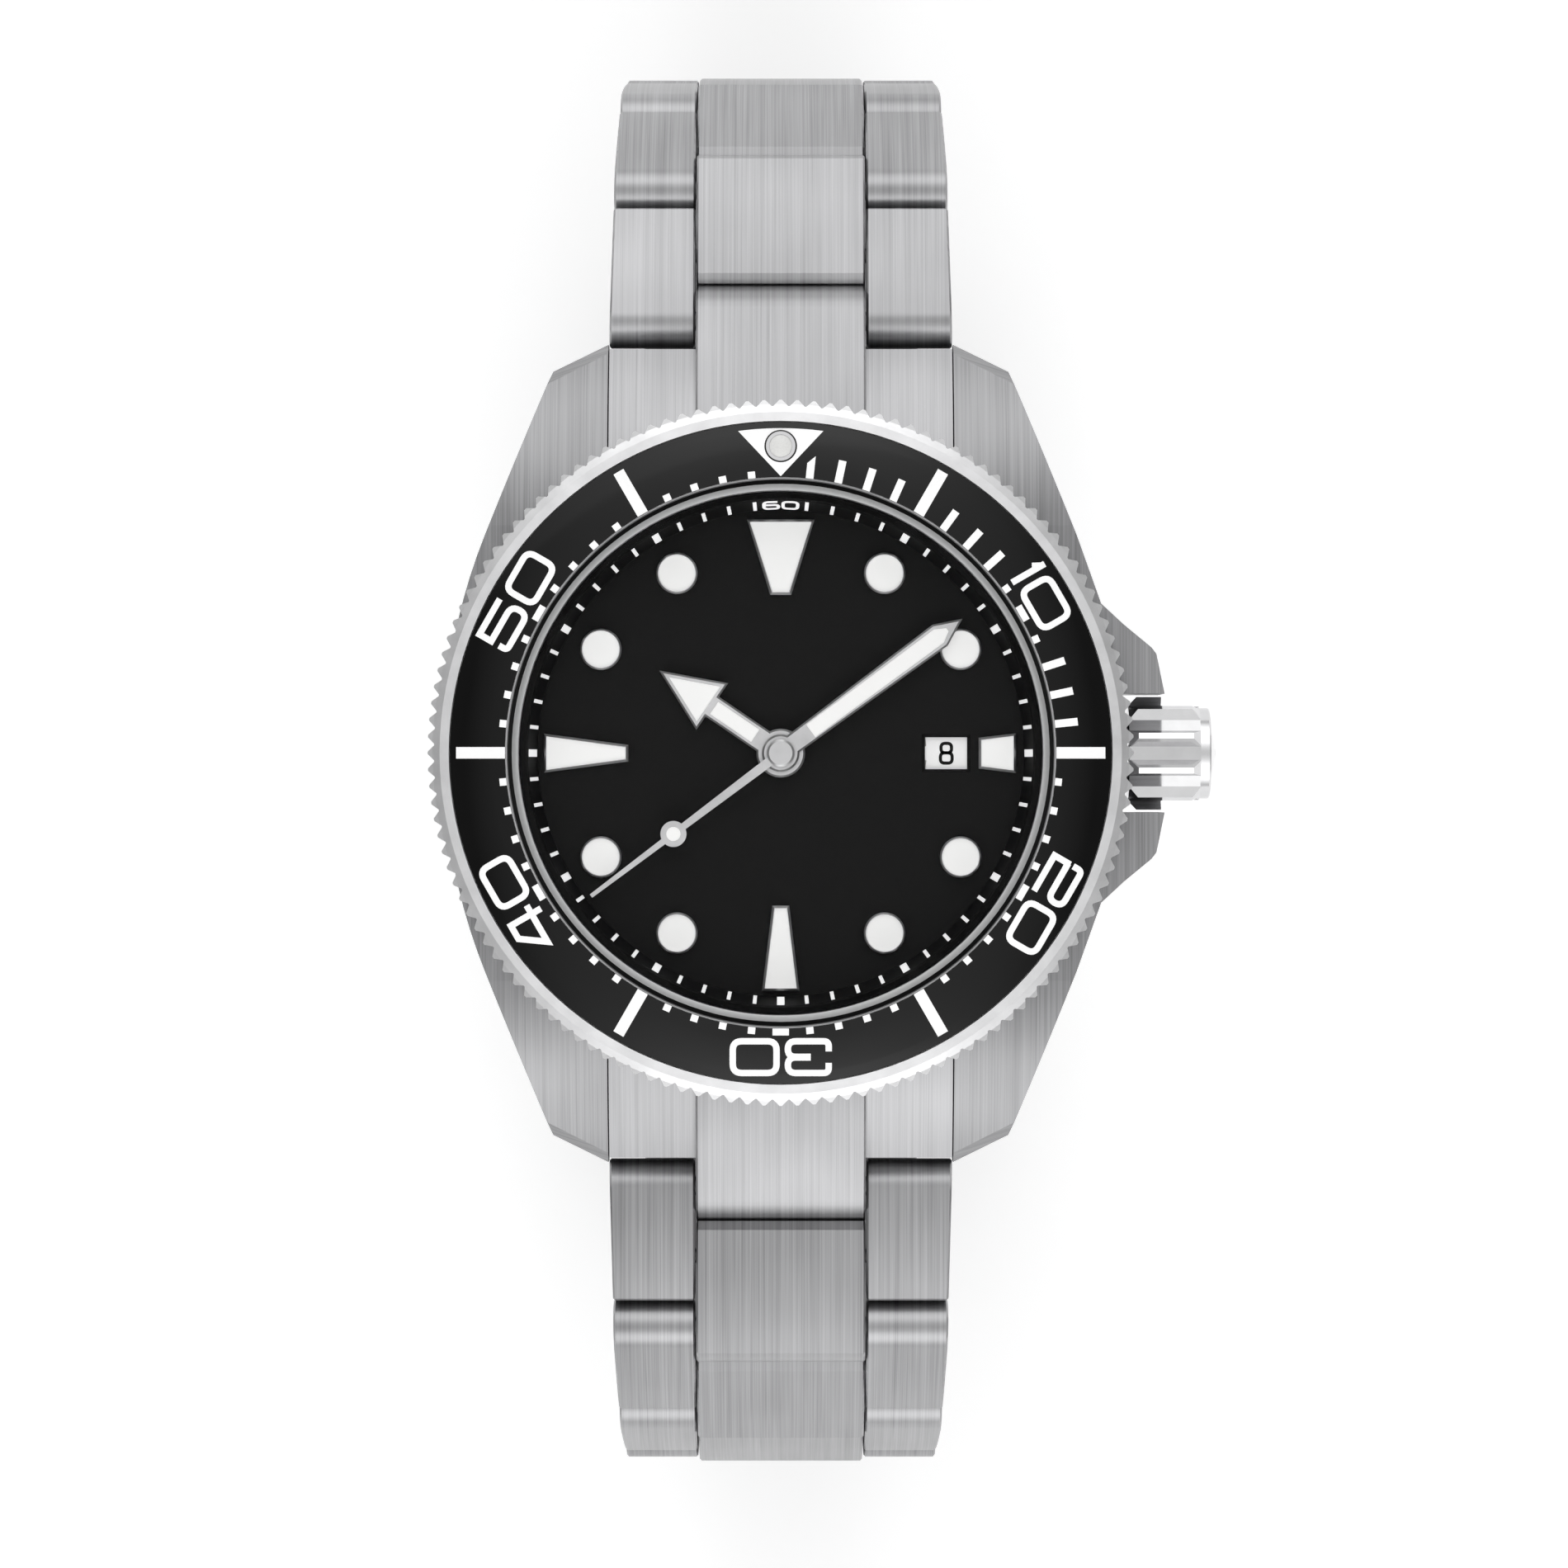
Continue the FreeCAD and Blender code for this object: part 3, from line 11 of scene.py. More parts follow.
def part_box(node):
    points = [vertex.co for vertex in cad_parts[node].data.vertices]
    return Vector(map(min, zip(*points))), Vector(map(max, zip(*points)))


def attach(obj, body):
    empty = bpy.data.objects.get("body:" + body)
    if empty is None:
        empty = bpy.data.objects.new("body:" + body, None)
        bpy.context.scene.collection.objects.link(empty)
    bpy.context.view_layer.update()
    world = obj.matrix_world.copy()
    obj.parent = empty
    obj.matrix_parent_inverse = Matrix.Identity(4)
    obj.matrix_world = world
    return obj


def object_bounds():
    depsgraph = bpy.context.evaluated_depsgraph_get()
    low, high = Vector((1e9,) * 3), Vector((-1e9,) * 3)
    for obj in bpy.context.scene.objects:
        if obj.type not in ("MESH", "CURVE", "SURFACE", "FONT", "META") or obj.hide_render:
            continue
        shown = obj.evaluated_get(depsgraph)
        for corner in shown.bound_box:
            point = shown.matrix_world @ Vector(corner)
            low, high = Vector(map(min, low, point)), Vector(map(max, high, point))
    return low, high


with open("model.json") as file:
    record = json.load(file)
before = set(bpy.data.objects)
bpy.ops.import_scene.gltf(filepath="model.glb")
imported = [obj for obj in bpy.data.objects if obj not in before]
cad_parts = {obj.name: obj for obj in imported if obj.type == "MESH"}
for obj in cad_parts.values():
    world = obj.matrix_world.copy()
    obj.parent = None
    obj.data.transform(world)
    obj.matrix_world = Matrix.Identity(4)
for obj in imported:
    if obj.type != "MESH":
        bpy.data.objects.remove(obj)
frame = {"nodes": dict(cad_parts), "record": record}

CAD_BOX = [list(corner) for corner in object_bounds()]
NODES = frame["nodes"]
MM = 0.001

# ---------------------------------------------------------------- sizes, in millimetres
# print: how far it stands out of its surface and reaches into it, its longest mesh edge,
# and how often an edge is halved at most
PRINT_UP = 0.02
PRINT_DOWN = 0.03
LONGEST_EDGE = 0.4
SPLIT_ROUNDS = 5
# how far over a surface the search for it starts
RAY_START = 1.0
# points closer than this are one point
SAME_PLACE = 0.0001
SAME_DECIMALS = 4

# bezel scale: radii where marks begin and end, widths, degrees from one minute to the next
INSERT_MARK_IN = 16.8
SQUARE_OUT = 17.22
BAR_OUT = 18.2
HASH_OUT = 19.8
HASH_W = 0.7
BAR_W = 0.47
SQUARE_W = 0.45
DASH_W = 1.0
MINUTE_TURN = 6
BAR_MINUTES = (1, 2, 3, 4, 6, 7, 8, 12, 13, 14)
TRIANGLE_TIP = 16.85
TRIANGLE_HALF = 2.6
TRIANGLE_BASE_STEPS = 16
PEARL_HOLE_R = 1.0
PEARL_HOLE_STEPS = 40
PEARL_FILLING_R = 0.695

# bezel numerals; the 10 with its narrow 1 stands a little to one side
NUMERAL_R = 18.55
NUMERAL_HEIGHT = 2.34
NUMERAL_STROKE = 0.39
NUMERAL_CORNER = 0.55
NUMERAL_WIDTH = {"0": 3.06, "1": 0.8}
NUMERAL_WIDTH_ELSE = 2.88
NUMERAL_GAP = 0.3
TEN_SHIFT = -0.38

# flange minute track: heights above the ring's foot, the ring's radius, and the print's share of
# the height between them; ticks in degrees, digits in millimetres
FLANGE_FOOT = 0.45
FLANGE_TOP = 2.35
FLANGE_R = 15.25
FLANGE_LOW = 0.05
FLANGE_HIGH = 0.95
TICK_DEGREES = 0.85
FIVE_DEGREES = 1.7
FLANGE_DIGIT_W = 1.1
FLANGE_DIGIT_GAP = 0.08
FLANGE_STROKE = 0.2
FLANGE_CORNER = 0.3

# date numerals, upright at 3 o'clock
DATE_NUMERAL_R = 10.22
DATE_DAYS = 31
DATE_SHOWN = 8
DATE_HEIGHT = 1.42
DATE_STROKE = 0.2
DATE_CORNER = 0.26
DATE_GAP = 0.14
DATE_ONE_W = 0.5
DATE_ALONE_W = 0.92
DATE_PAIR_W = 0.84

# camera: over the bezel's top, with the width that it sees there
CAMERA_ABOVE_BEZEL = 410.0
CAMERA_X = 0.2
CAMERA_Y = -1.9
FRAME_WIDTH = 95.6
SENSOR = 36.0
NEAR_CLIP = 10.0

# floor
FLOOR_HALF = 1500.0
FLOOR_BELOW = 0.5

# ---------------------------------------------------------------- brushing
# cells of noise per metre: across the fine and the broad strokes of the brush, and along them
FINE = 11000.0
BROAD = 3200.0
SLOW = 45.0
# a surface faces an axis when this much of its normal points along it
FACING = 0.6

# ---------------------------------------------------------------- light
FLOOR_GLOW = 0.36
# brightness of the sky by height, from 0 straight down to 1 straight up
SKY_STOPS = (
    (0.0, 0.9), (0.45, 0.5), (0.55, 0.5), (0.6, 0.75), (0.7, 1.2), (0.92, 1.4), (0.97, 0.85), (1.0, 0.55),
)
# strength of the sky over the strap's ends, and towards the case's sides
SKY = 1.5
SIDE_SKY = 0.22
# the sky dims as a direction's sideways part goes from one to the other
SIDE_FROM = 0.1
SIDE_TO = 0.45
# and only where the direction's upward part is past these, so that the horizon stays even
HORIZON_FROM = 0.12
HORIZON_TO = 0.2
# place and size in metres, power in watts
KEY_LIGHT = {"place": (-0.12, 0.42, 0.5), "size": (0.6, 0.4), "power": 0.25}
FILL_LIGHT = {"place": (0.1, -0.45, 0.42), "size": (0.6, 0.4), "power": 0.4}


# ---------------------------------------------------------------- numerals drawn as strokes
# Each stroke is (points, share of the corner radius, closed), in a box from -1 to 1 before it is scaled.
ROUND = 1.0
SHARP = 0.0
DIGITS = {
    "0": [([(-1, -1), (1, -1), (1, 1), (-1, 1)], ROUND, True)],
    "1": [([(-0.75, 0.42), (0.55, 0.93)], SHARP, False), ([(0.6, 1.19), (0.6, -1.19)], SHARP, False)],
    "2": [([(-1, 0.36), (-1, 1), (1, 1), (1, 0), (-1, 0)], ROUND, False),
          ([(-0.66, 0), (-1, -0.04), (-1, -1), (1, -1)], SHARP, False)],
    "3": [([(-1, 0.36), (-1, 1), (1, 1), (1, 0.02), (-0.12, 0.02)], ROUND, False),
          ([(-0.12, -0.02), (1, -0.02), (1, -1), (-1, -1), (-1, -0.36)], ROUND, False)],
    "4": [([(0.62, -1.19), (0.62, 1), (-0.12, 1), (-0.95, -0.5), (1.1, -0.5)], SHARP, False)],
    "5": [([(1, 1), (-1, 1), (-1, 0.14), (-0.4, 0.14)], SHARP, False),
          ([(-0.9, 0.14), (1, 0.14), (1, -1), (-1, -1), (-1, -0.42)], ROUND, False)],
    "6": [([(0.85, 1), (-1, 1), (-1, -1), (1, -1), (1, 0.1), (-1, 0.1)], ROUND, False)],
    "7": [([(-1, 1), (1, 1), (-0.2, -1.19)], SHARP, False)],
    "8": [([(-0.9, 0.04), (0.9, 0.04), (0.9, 1), (-0.9, 1)], ROUND, True),
          ([(-1, -1), (1, -1), (1, 0.04), (-1, 0.04)], ROUND, True)],
    "9": [([(-0.85, -1), (1, -1), (1, 1), (-1, 1), (-1, -0.1), (1, -0.1)], ROUND, False)],
}
CORNER_STEPS = 6
# a mitred corner is at most 1 / MITRE_LIMIT times as wide as its stroke
MITRE_LIMIT = 0.4


def rounded(points, radius, closed):
    """Polyline with each corner turned into an arc of about that radius."""
    if radius <= 0:
        return list(points)
    count = len(points)
    result = []
    for i, p in enumerate(points):
        if not closed and i in (0, count - 1):
            result.append(p)
            continue
        corner = Vector(p)
        before = Vector(points[i - 1]) - corner
        after = Vector(points[(i + 1) % count]) - corner
        reach = min(radius, before.length / 2, after.length / 2)
        start = corner + before.normalized() * reach
        end = corner + after.normalized() * reach
        for k in range(CORNER_STEPS + 1):
            t = k / CORNER_STEPS
            result.append(tuple(start * (1 - t) ** 2 + corner * 2 * t * (1 - t) + end * t ** 2))
    # where two corners share one short side, the end of one arc is the start of the next
    return [p for i, p in enumerate(result) if (Vector(p) - Vector(result[i - 1])).length > SAME_PLACE]


def ribbon(points, width, closed):
    """Quads that follow a polyline at an even width, with mitred corners."""
    count = len(points)
    sides = []
    for i, p in enumerate(points):
        here = Vector(p)
        back = here - Vector(points[i - 1]) if closed or i > 0 else None
        on = Vector(points[(i + 1) % count]) - here if closed or i < count - 1 else None
        back = back.normalized() if back is not None else on.normalized()
        on = on.normalized() if on is not None else back
        along = (back + on).normalized()
        normal = Vector((-along.y, along.x))
        half = width / 2 / max(MITRE_LIMIT, along.dot(on))
        sides.append((here + normal * half, here - normal * half))
    last = count if closed else count - 1
    return [
        [sides[i][1], sides[(i + 1) % count][1], sides[(i + 1) % count][0], sides[i][0]]
        for i in range(last)
    ]


def digit_quads(digit, width, height, stroke, corner):
    """A list of quads for each stroke of one digit, centred on the origin."""
    half_x = (width - stroke) / 2
    half_y = (height - stroke) / 2
    strokes = []
    for points, share, closed in DIGITS[digit]:
        scaled = [(x * half_x, y * half_y) for x, y in points]
        strokes.append(ribbon(rounded(scaled, corner * share, closed), stroke, closed))
    return strokes


def number_quads(text, widths, width_else, height, stroke, corner, gap):
    """Strokes of a whole number, side by side and centred."""
    sizes = [widths.get(digit, width_else) for digit in text]
    left = -(sum(sizes) + gap * (len(text) - 1)) / 2
    strokes = []
    for digit, size in zip(text, sizes):
        shift = Vector((left + size / 2, 0))
        for quads in digit_quads(digit, size, height, stroke, corner):
            strokes.append([[point + shift for point in quad] for quad in quads])
        left += size + gap
    return strokes


def turned(faces, radius, degrees, shift=0.0):
    """Faces drawn upright round the origin, moved out to a radius and turned clockwise from 12 o'clock."""
    a = math.radians(degrees)
    result = []
    for face in faces:
        result.append([
            Vector((
                (p[0] + shift) * math.cos(a) + (p[1] + radius) * math.sin(a),
                (p[1] + radius) * math.cos(a) - (p[0] + shift) * math.sin(a),
            )) for p in face
        ])
    return result


def bar(width, inner, outer):
    """Upright bar between two radii, drawn at 12 o'clock."""
    half = width / 2
    corners = ((-half, inner), (half, inner), (half, outer), (-half, outer))
    return [[Vector(corner) for corner in corners]]


# ---------------------------------------------------------------- laying print on a surface
def tree_of(node):
    """Search tree of a CAD node's surface, in metres."""
    mesh = NODES[node].data
    return BVHTree.FromPolygons([v.co for v in mesh.vertices], [p.vertices for p in mesh.polygons])


def onto_top(node):
    """Places a flat point straight down onto a node's upper side."""
    tree = tree_of(node)
    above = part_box(node)[1].z + RAY_START * MM

    def place(x, y, lift):
        start = Vector((x * MM, y * MM, above))
        hit = tree.ray_cast(start, Vector((0, 0, -1)))[0]
        return hit + Vector((0, 0, lift * MM))
    return place


def onto_flange(node):
    """Places a flat point, whose radius stands for height, outwards onto the flange's sloping inner side."""
    tree = tree_of(node)
    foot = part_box(node)[0].z / MM

    def place(x, y, lift):
        radius = math.hypot(x, y)
        height = foot + FLANGE_FOOT + (radius - FLANGE_R) * (FLANGE_TOP - FLANGE_FOOT)
        outward = Vector((x / radius, y / radius, 0))
        hit = tree.ray_cast(Vector((0, 0, height * MM)), outward)[0]
        return hit - outward * (lift * MM)
    return place


def split_long_edges(bm):
    """Halves the long edges until print can follow a curved surface."""
    for _ in range(SPLIT_ROUNDS):
        long = [e for e in bm.edges if e.calc_length() > LONGEST_EDGE]
        if not long:
            return
        bmesh.ops.subdivide_edges(bm, edges=long, cuts=1)


def flat_mesh(shape):
    """A flat triangle mesh that faces up, made of faces that share their edges."""
    bm = bmesh.new()
    known = {}
    for face in shape:
        corners = []
        for p in face:
            key = (round(p[0], SAME_DECIMALS), round(p[1], SAME_DECIMALS))
            if key not in known:
                known[key] = bm.verts.new((p[0], p[1], 0))
            if known[key] not in corners:
                corners.append(known[key])
        if len(corners) > 2 and not bm.faces.get(corners):
            bm.faces.new(corners)
    split_long_edges(bm)
    bmesh.ops.triangulate(bm, faces=bm.faces[:])
    bmesh.ops.recalc_face_normals(bm, faces=bm.faces[:])
    if bm.faces and sum(f.normal.z * f.calc_area() for f in bm.faces) < 0:
        bmesh.ops.reverse_faces(bm, faces=bm.faces[:])
    bm.verts.index_update()
    return bm


def printed(name, shapes, place, material, body):
    """Thin closed layers of print: each shape is a list of flat faces that share their edges."""
    verts = []
    faces = []
    for shape in shapes:
        bm = flat_mesh(shape)
        start, count = len(verts), len(bm.verts)
        for lift in (PRINT_UP, -PRINT_DOWN):
            verts += [place(v.co.x, v.co.y, lift) for v in bm.verts]
        for f in bm.faces:
            ring = [start + v.index for v in f.verts]
            faces.append(ring)
            faces.append([count + i for i in reversed(ring)])
        for e in bm.edges:
            if len(e.link_faces) == 1:
                a, b = (start + v.index for v in e.verts)
                ring = [start + v.index for v in e.link_faces[0].verts]
                if ring[(ring.index(a) + 1) % len(ring)] != b:
                    a, b = b, a
                faces.append([b, a, a + count, b + count])
        bm.free()
    mesh = bpy.data.meshes.new(name)
    mesh.from_pydata(verts, [], faces)
    mesh.update()
    piece = bpy.data.objects.new(name, mesh)
    bpy.context.scene.collection.objects.link(piece)
    mesh.materials.append(material)
    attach(piece, body)


# ---------------------------------------------------------------- materials
class Shader:
    """A node material with one Principled shader, and short ways to add and join nodes."""

    def __init__(self, name, **sockets):
        self.material = bpy.data.materials.new(name)
        self.material.use_nodes = True
        self.tree = self.material.node_tree
        self.principled = self.tree.nodes["Principled BSDF"]
        self.set(self.principled, sockets)
        self.coords = self.tree.nodes.new("ShaderNodeTexCoord")

    def feed(self, socket, value):
        """Joins a node's output to a socket, or sets the socket to a plain value."""
        if isinstance(value, bpy.types.NodeSocket):
            self.tree.links.new(value, socket)
        else:
            socket.default_value = value

    def set(self, node, sockets):
        """Feeds a node's sockets by name, with _ for a space."""
        for key, value in sockets.items():
            self.feed(node.inputs[key if key in node.inputs else key.replace("_", " ")], value)

    def add(self, kind, settings=None, **sockets):
        """A new node of one kind, with its settings and sockets."""
        node = self.tree.nodes.new("ShaderNode" + kind)
        for key, value in (settings or {}).items():
            setattr(node, key, value)
        self.set(node, sockets)
        return node

    def math(self, operation, a, b=0.0):
        """The result of a sum or comparison."""
        node = self.add("Math", {"operation": operation})
        self.feed(node.inputs[0], a)
        self.feed(node.inputs[1], b)
        return node.outputs[0]

    def noise(self, scales, detail=3.0, roughness=0.6):
        """Noise with its own fineness along X, Y and Z, in cells per metre."""
        spread = self.add("Mapping", Vector=self.coords.outputs["Object"], Scale=scales)
        return self.add(
            "TexNoise", Vector=spread.outputs[0], Scale=1.0, Detail=detail, Roughness=roughness
        ).outputs["Fac"]

    def between(self, fac, low, high):
        """A number that runs from low to high as fac goes from 0.3 to 0.7, where most noise lies."""
        return self.add(
            "MapRange", Value=fac, From_Min=0.3, From_Max=0.7, To_Min=low, To_Max=high
        ).outputs[0]

    def grey(self, fac, low, high, tint=(1.0, 1.0, 1.0)):
        """A colour that runs from low to high brightness."""
        dark, light = (tuple(level * part for part in tint) + (1,) for level in (low, high))
        return self.choose_colour(self.between(fac, 0.0, 1.0), dark, light)

    def mix(self, data_type, places, values):
        """A mix node of one type, whose sockets for the factor and both values are at these places."""
        node = self.add("Mix", {"data_type": data_type})
        for place, value in zip(places, values):
            self.feed(node.inputs[place], value)
        return node

    def choose(self, fac, a, b):
        """Number a where fac is 0 and b where it is 1."""
        return self.mix("FLOAT", (0, 2, 3), (fac, a, b)).outputs[0]

    def choose_colour(self, fac, a, b):
        """Colour a where fac is 0 and b where it is 1."""
        return self.mix("RGBA", (0, 6, 7), (fac, a, b)).outputs[2]

    def bump(self, height, distance, strength):
        """Relief, whose height 1 stands for that distance in millimetres."""
        node = self.add("Bump", Height=height, Distance=distance * MM, Strength=strength)
        self.set(self.principled, {"Normal": node.outputs[0]})

    def facing(self, axis):
        """How far the surface faces along an axis, from 0 to 1."""
        split = self.add("SeparateXYZ", Vector=self.coords.outputs["Normal"])
        return self.math("ABSOLUTE", split.outputs[axis])

    def blend(self, a, share_a, b, share_b):
        """Sum of two numbers by their shares."""
        return self.math("ADD", self.math("MULTIPLY", a, share_a), self.math("MULTIPLY", b, share_b))

    def finish(self, colour, roughness):
        """Gives the shader its colour and roughness, and hands over the material."""
        self.set(self.principled, {"Base Color": colour, "Roughness": roughness})
        return self.material


def even(cells):
    """The same fineness along X, Y and Z, in cells per metre."""
    return (cells, cells, cells)


def satin(name, part, low, high):
    """Brushed steel, whose grain runs along the strap on top.

    It runs level on the walls: at the two sides of the bracelet, and all round the case.
    """
    shader = Shader(name, Metallic=1.0)
    lengthwise = shader.blend(shader.noise((FINE, SLOW, SLOW)), 0.6, shader.noise((BROAD, SLOW, SLOW)), 0.4)
    level = shader.blend(shader.noise((SLOW, SLOW, FINE)), 0.6, shader.noise((SLOW, SLOW, BROAD)), 0.4)
    if part == "bracelet":
        is_side = shader.math("GREATER_THAN", shader.facing("X"), FACING)
        grain = shader.choose(is_side, lengthwise, level)
    else:
        is_top = shader.math("GREATER_THAN", shader.facing("Z"), FACING)
        grain = shader.choose(is_top, level, lengthwise)
    clouds = shader.noise(even(90.0), detail=2.0)
    shader.bump(grain, 0.008, 0.45)
    tone = shader.math("ADD", grain, shader.math("MULTIPLY", shader.math("SUBTRACT", clouds, 0.5), 0.25))
    colour = shader.grey(tone, low, high, tint=(1.0, 1.0, 1.02))
    return shader.finish(colour, shader.between(grain, 0.34, 0.46))


def mirror_steel(name):
    """Polished steel with faint handling marks."""
    shader = Shader(name, Metallic=1.0)
    clouds = shader.noise(even(350.0), detail=4.0)
    marks = shader.noise((2500.0, 700.0, 1600.0), detail=5.0, roughness=0.7)
    shader.bump(marks, 0.003, 0.25)
    colour = shader.grey(clouds, 0.6, 0.68, tint=(1.0, 1.0, 1.01))
    return shader.finish(colour, shader.between(marks, 0.09, 0.16))


def fine_steel(name, low, high, rough):
    """Finely finished steel, soft enough to stay bright from any side."""
    shader = Shader(name, Metallic=1.0)
    grain = shader.noise(even(9000.0), detail=4.0)
    clouds = shader.noise(even(500.0))
    shader.bump(grain, 0.002, 0.3)
    colour = shader.grey(clouds, low, high, tint=(1.0, 1.0, 1.01))
    return shader.finish(colour, shader.between(grain, rough, rough + 0.06))


def glossy_black(name):
    """Glazed ceramic."""
    shader = Shader(name, Specular_IOR_Level=0.29)
    grain = shader.noise(even(4000.0), detail=4.0)
    clouds = shader.noise(even(160.0), detail=2.0)
    shader.bump(grain, 0.002, 0.15)
    return shader.finish(shader.grey(clouds, 0.001, 0.002), shader.between(clouds, 0.08, 0.12))


def matt_black(name, low, high, roughness, grain_size):
    """Lacquer with a fine powdery grain, whose size is in millimetres."""
    shader = Shader(name, Specular_IOR_Level=0.12)
    grain = shader.noise(even(1 / (grain_size * MM)), detail=4.0, roughness=0.7)
    shader.bump(grain, 0.01, 0.5)
    colour = shader.grey(grain, low, high)
    return shader.finish(colour, shader.between(grain, roughness - 0.06, roughness + 0.06))


def powder(name, low, high, grain_size, painted_glow, roughness=0.62, tint=(1.0, 1.0, 1.0)):
    """Luminous filling, enamel or print: a bright coat with grain, and a faint glow that is painted light, to
    keep it bright where little light reaches it.
    """
    # the emission is painted light: the coat glows so that it stays bright in shade
    shader = Shader(name, Emission_Color=(1, 1, 1, 1), Emission_Strength=painted_glow)
    grain = shader.noise(even(1 / (grain_size * MM)), detail=5.0, roughness=0.75)
    clouds = shader.noise(even(260.0), detail=2.0)
    shader.bump(grain, 0.012, 0.6)
    colour = shader.grey(shader.blend(grain, 0.6, clouds, 0.4), low, high, tint)
    return shader.finish(colour, shader.between(grain, roughness - 0.08, roughness + 0.08))


def pearl_capsule(name):
    """White filling in the middle of the capsule, and a polished metal cup round it."""
    low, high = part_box("bezel_pearl")
    centre = (low + high) / 2
    shader = Shader(name)
    moved = shader.add("Mapping", Vector=shader.coords.outputs["Object"], Location=(-centre.x, -centre.y, 0))
    flat = shader.add("VectorMath", {"operation": "MULTIPLY"}, Vector=moved.outputs[0])
    flat.inputs[1].default_value = (1, 1, 0)
    length = shader.add("VectorMath", {"operation": "LENGTH"}, Vector=flat.outputs[0])
    metal = shader.math("GREATER_THAN", length.outputs["Value"], PEARL_FILLING_R * MM)
    grain = shader.noise(even(9000.0), detail=4.0)
    filling = shader.grey(grain, 0.86, 0.94, tint=(1.0, 1.0, 0.98))
    shader.set(shader.principled, {"Metallic": metal})
    colour = shader.choose_colour(metal, filling, (0.74, 0.74, 0.75, 1))
    return shader.finish(colour, shader.choose(metal, shader.between(grain, 0.3, 0.42), 0.28))


def clear_sapphire(name):
    """Clear crystal: almost nothing straight on, and a painted highlight where it is bevelled: a light grey,
    nearly opaque edge.
    """
    shader = Shader(name, IOR=1.77)
    bevelled = shader.math("LESS_THAN", shader.facing("Z"), 0.9)
    grain = shader.noise(even(3000.0))
    rim = shader.add("LayerWeight", Blend=0.25)
    pane = shader.between(rim.outputs["Fresnel"], 0.015, 0.25)
    shader.set(shader.principled, {"Alpha": shader.choose(bevelled, pane, 0.8)})
    shader.set(shader.principled, {"Metallic": shader.choose(bevelled, 0.0, 0.25)})
    # painted highlight: the bevel is coloured light grey, partly metallic and nearly opaque
    painted_bevel_highlight = shader.grey(grain, 0.8, 0.86, tint=(0.99, 1.0, 1.0))
    colour = shader.choose_colour(bevelled, (0.01, 0.01, 0.011, 1), painted_bevel_highlight)
    return shader.finish(colour, shader.choose(bevelled, 0.02, 0.3))


def grained_plate(name, low, high, tint, pattern):
    """Plated movement part with 'stripes' across it, or with graining in 'rings'."""
    shader = Shader(name, Metallic=1.0)
    fine = shader.noise((2600.0, 120.0, 120.0))
    place = shader.coords.outputs["Object"]
    if pattern == "stripes":
        settings = {"bands_direction": "DIAGONAL"}
        wave = shader.add("TexWave", settings, Vector=place, Scale=160.0, Distortion=0.0)
    else:
        settings = {"wave_type": "RINGS", "rings_direction": "Z"}
        wave = shader.add("TexWave", settings, Vector=place, Scale=900.0, Distortion=2.0, Detail=2.0)
    grain = shader.blend(fine, 0.5, wave.outputs["Fac"], 0.5)
    shader.bump(grain, 0.006, 0.5)
    return shader.finish(shader.grey(grain, low, high, tint), shader.between(grain, 0.2, 0.36))


def soft_rubber(name):
    """Dark seal rubber with a dull skin."""
    shader = Shader(name, Specular_IOR_Level=0.25)
    grain = shader.noise(even(5000.0), detail=4.0)
    shader.bump(grain, 0.01, 0.6)
    return shader.finish(shader.grey(grain, 0.012, 0.022), shader.between(grain, 0.6, 0.75))


def pale_floor(name):
    """White paper, which glows a little so that it stays white under the soft light."""
    shader = Shader(name, Specular_IOR_Level=0.1, Emission_Color=(1, 1, 1, 1), Emission_Strength=FLOOR_GLOW)
    grain = shader.noise(even(60.0), detail=4.0)
    return shader.finish(shader.grey(grain, 0.965, 0.98), shader.between(grain, 0.85, 0.95))


# by the record's material slot
SLOT_MATERIALS = {
    "steel": satin("satin_steel_case", "case", low=0.2, high=0.4),
    "polished_steel": mirror_steel("polished_steel"),
    "sapphire": clear_sapphire("clear_sapphire"),
    "black_ceramic": glossy_black("black_ceramic"),
    "black_dial": matt_black("black_dial_lacquer", low=0.006, high=0.009, roughness=0.6, grain_size=0.08),
    "black_rubber": soft_rubber("black_rubber"),
    # painted light: the luminous filling glows to stay white where the bezel shades the dial
    "lume": powder("luminous_filling", low=0.86, high=0.94, grain_size=0.1, painted_glow=0.3, tint=(1.0, 1.0, 0.985)),
    # painted light: the date disc glows to look brighter down in its window
    "date_white": powder("date_enamel", low=0.88, high=0.94, grain_size=0.06, painted_glow=0.25),
    "movement_plate": grained_plate("striped_rhodium", 0.5, 0.68, (1.0, 0.99, 0.97), "stripes"),
    "brass": grained_plate("gilt_brass", 0.6, 0.78, (1.0, 0.8, 0.45), "rings"),
    "spring_steel": grained_plate("tempered_steel", 0.34, 0.5, (0.9, 0.95, 1.1), "rings"),
}
# nodes with a finish of their own
HAND_STEEL = fine_steel("hand_steel", low=0.62, high=0.74, rough=0.36)
NODE_MATERIALS = {
    "hour_hand": HAND_STEEL,
    "minute_hand": HAND_STEEL,
    "seconds_hand": HAND_STEEL,
    "hour_markers": HAND_STEEL,
    "bezel": fine_steel("bezel_steel", low=0.74, high=0.86, rough=0.38),
    "bezel_pearl": pearl_capsule("pearl_capsule"),
}
BRACELET_NAMES = ("link_", "end_links", "clasp_")
BRACELET_STEEL = satin("satin_steel_bracelet", "bracelet", low=0.25, high=0.48)
# painted light: the bezel print glows to stay white
WHITE_PRINT = powder("white_print", low=0.86, high=0.92, grain_size=0.05, painted_glow=0.27, roughness=0.5)
# painted light: the flange print glows more strongly, to stay white in the shade of the bezel
TRACK_PRINT = powder("track_print", low=0.88, high=0.94, grain_size=0.05, painted_glow=0.55, roughness=0.5)
BLACK_PRINT = matt_black("black_print", low=0.008, high=0.014, roughness=0.5, grain_size=0.05)


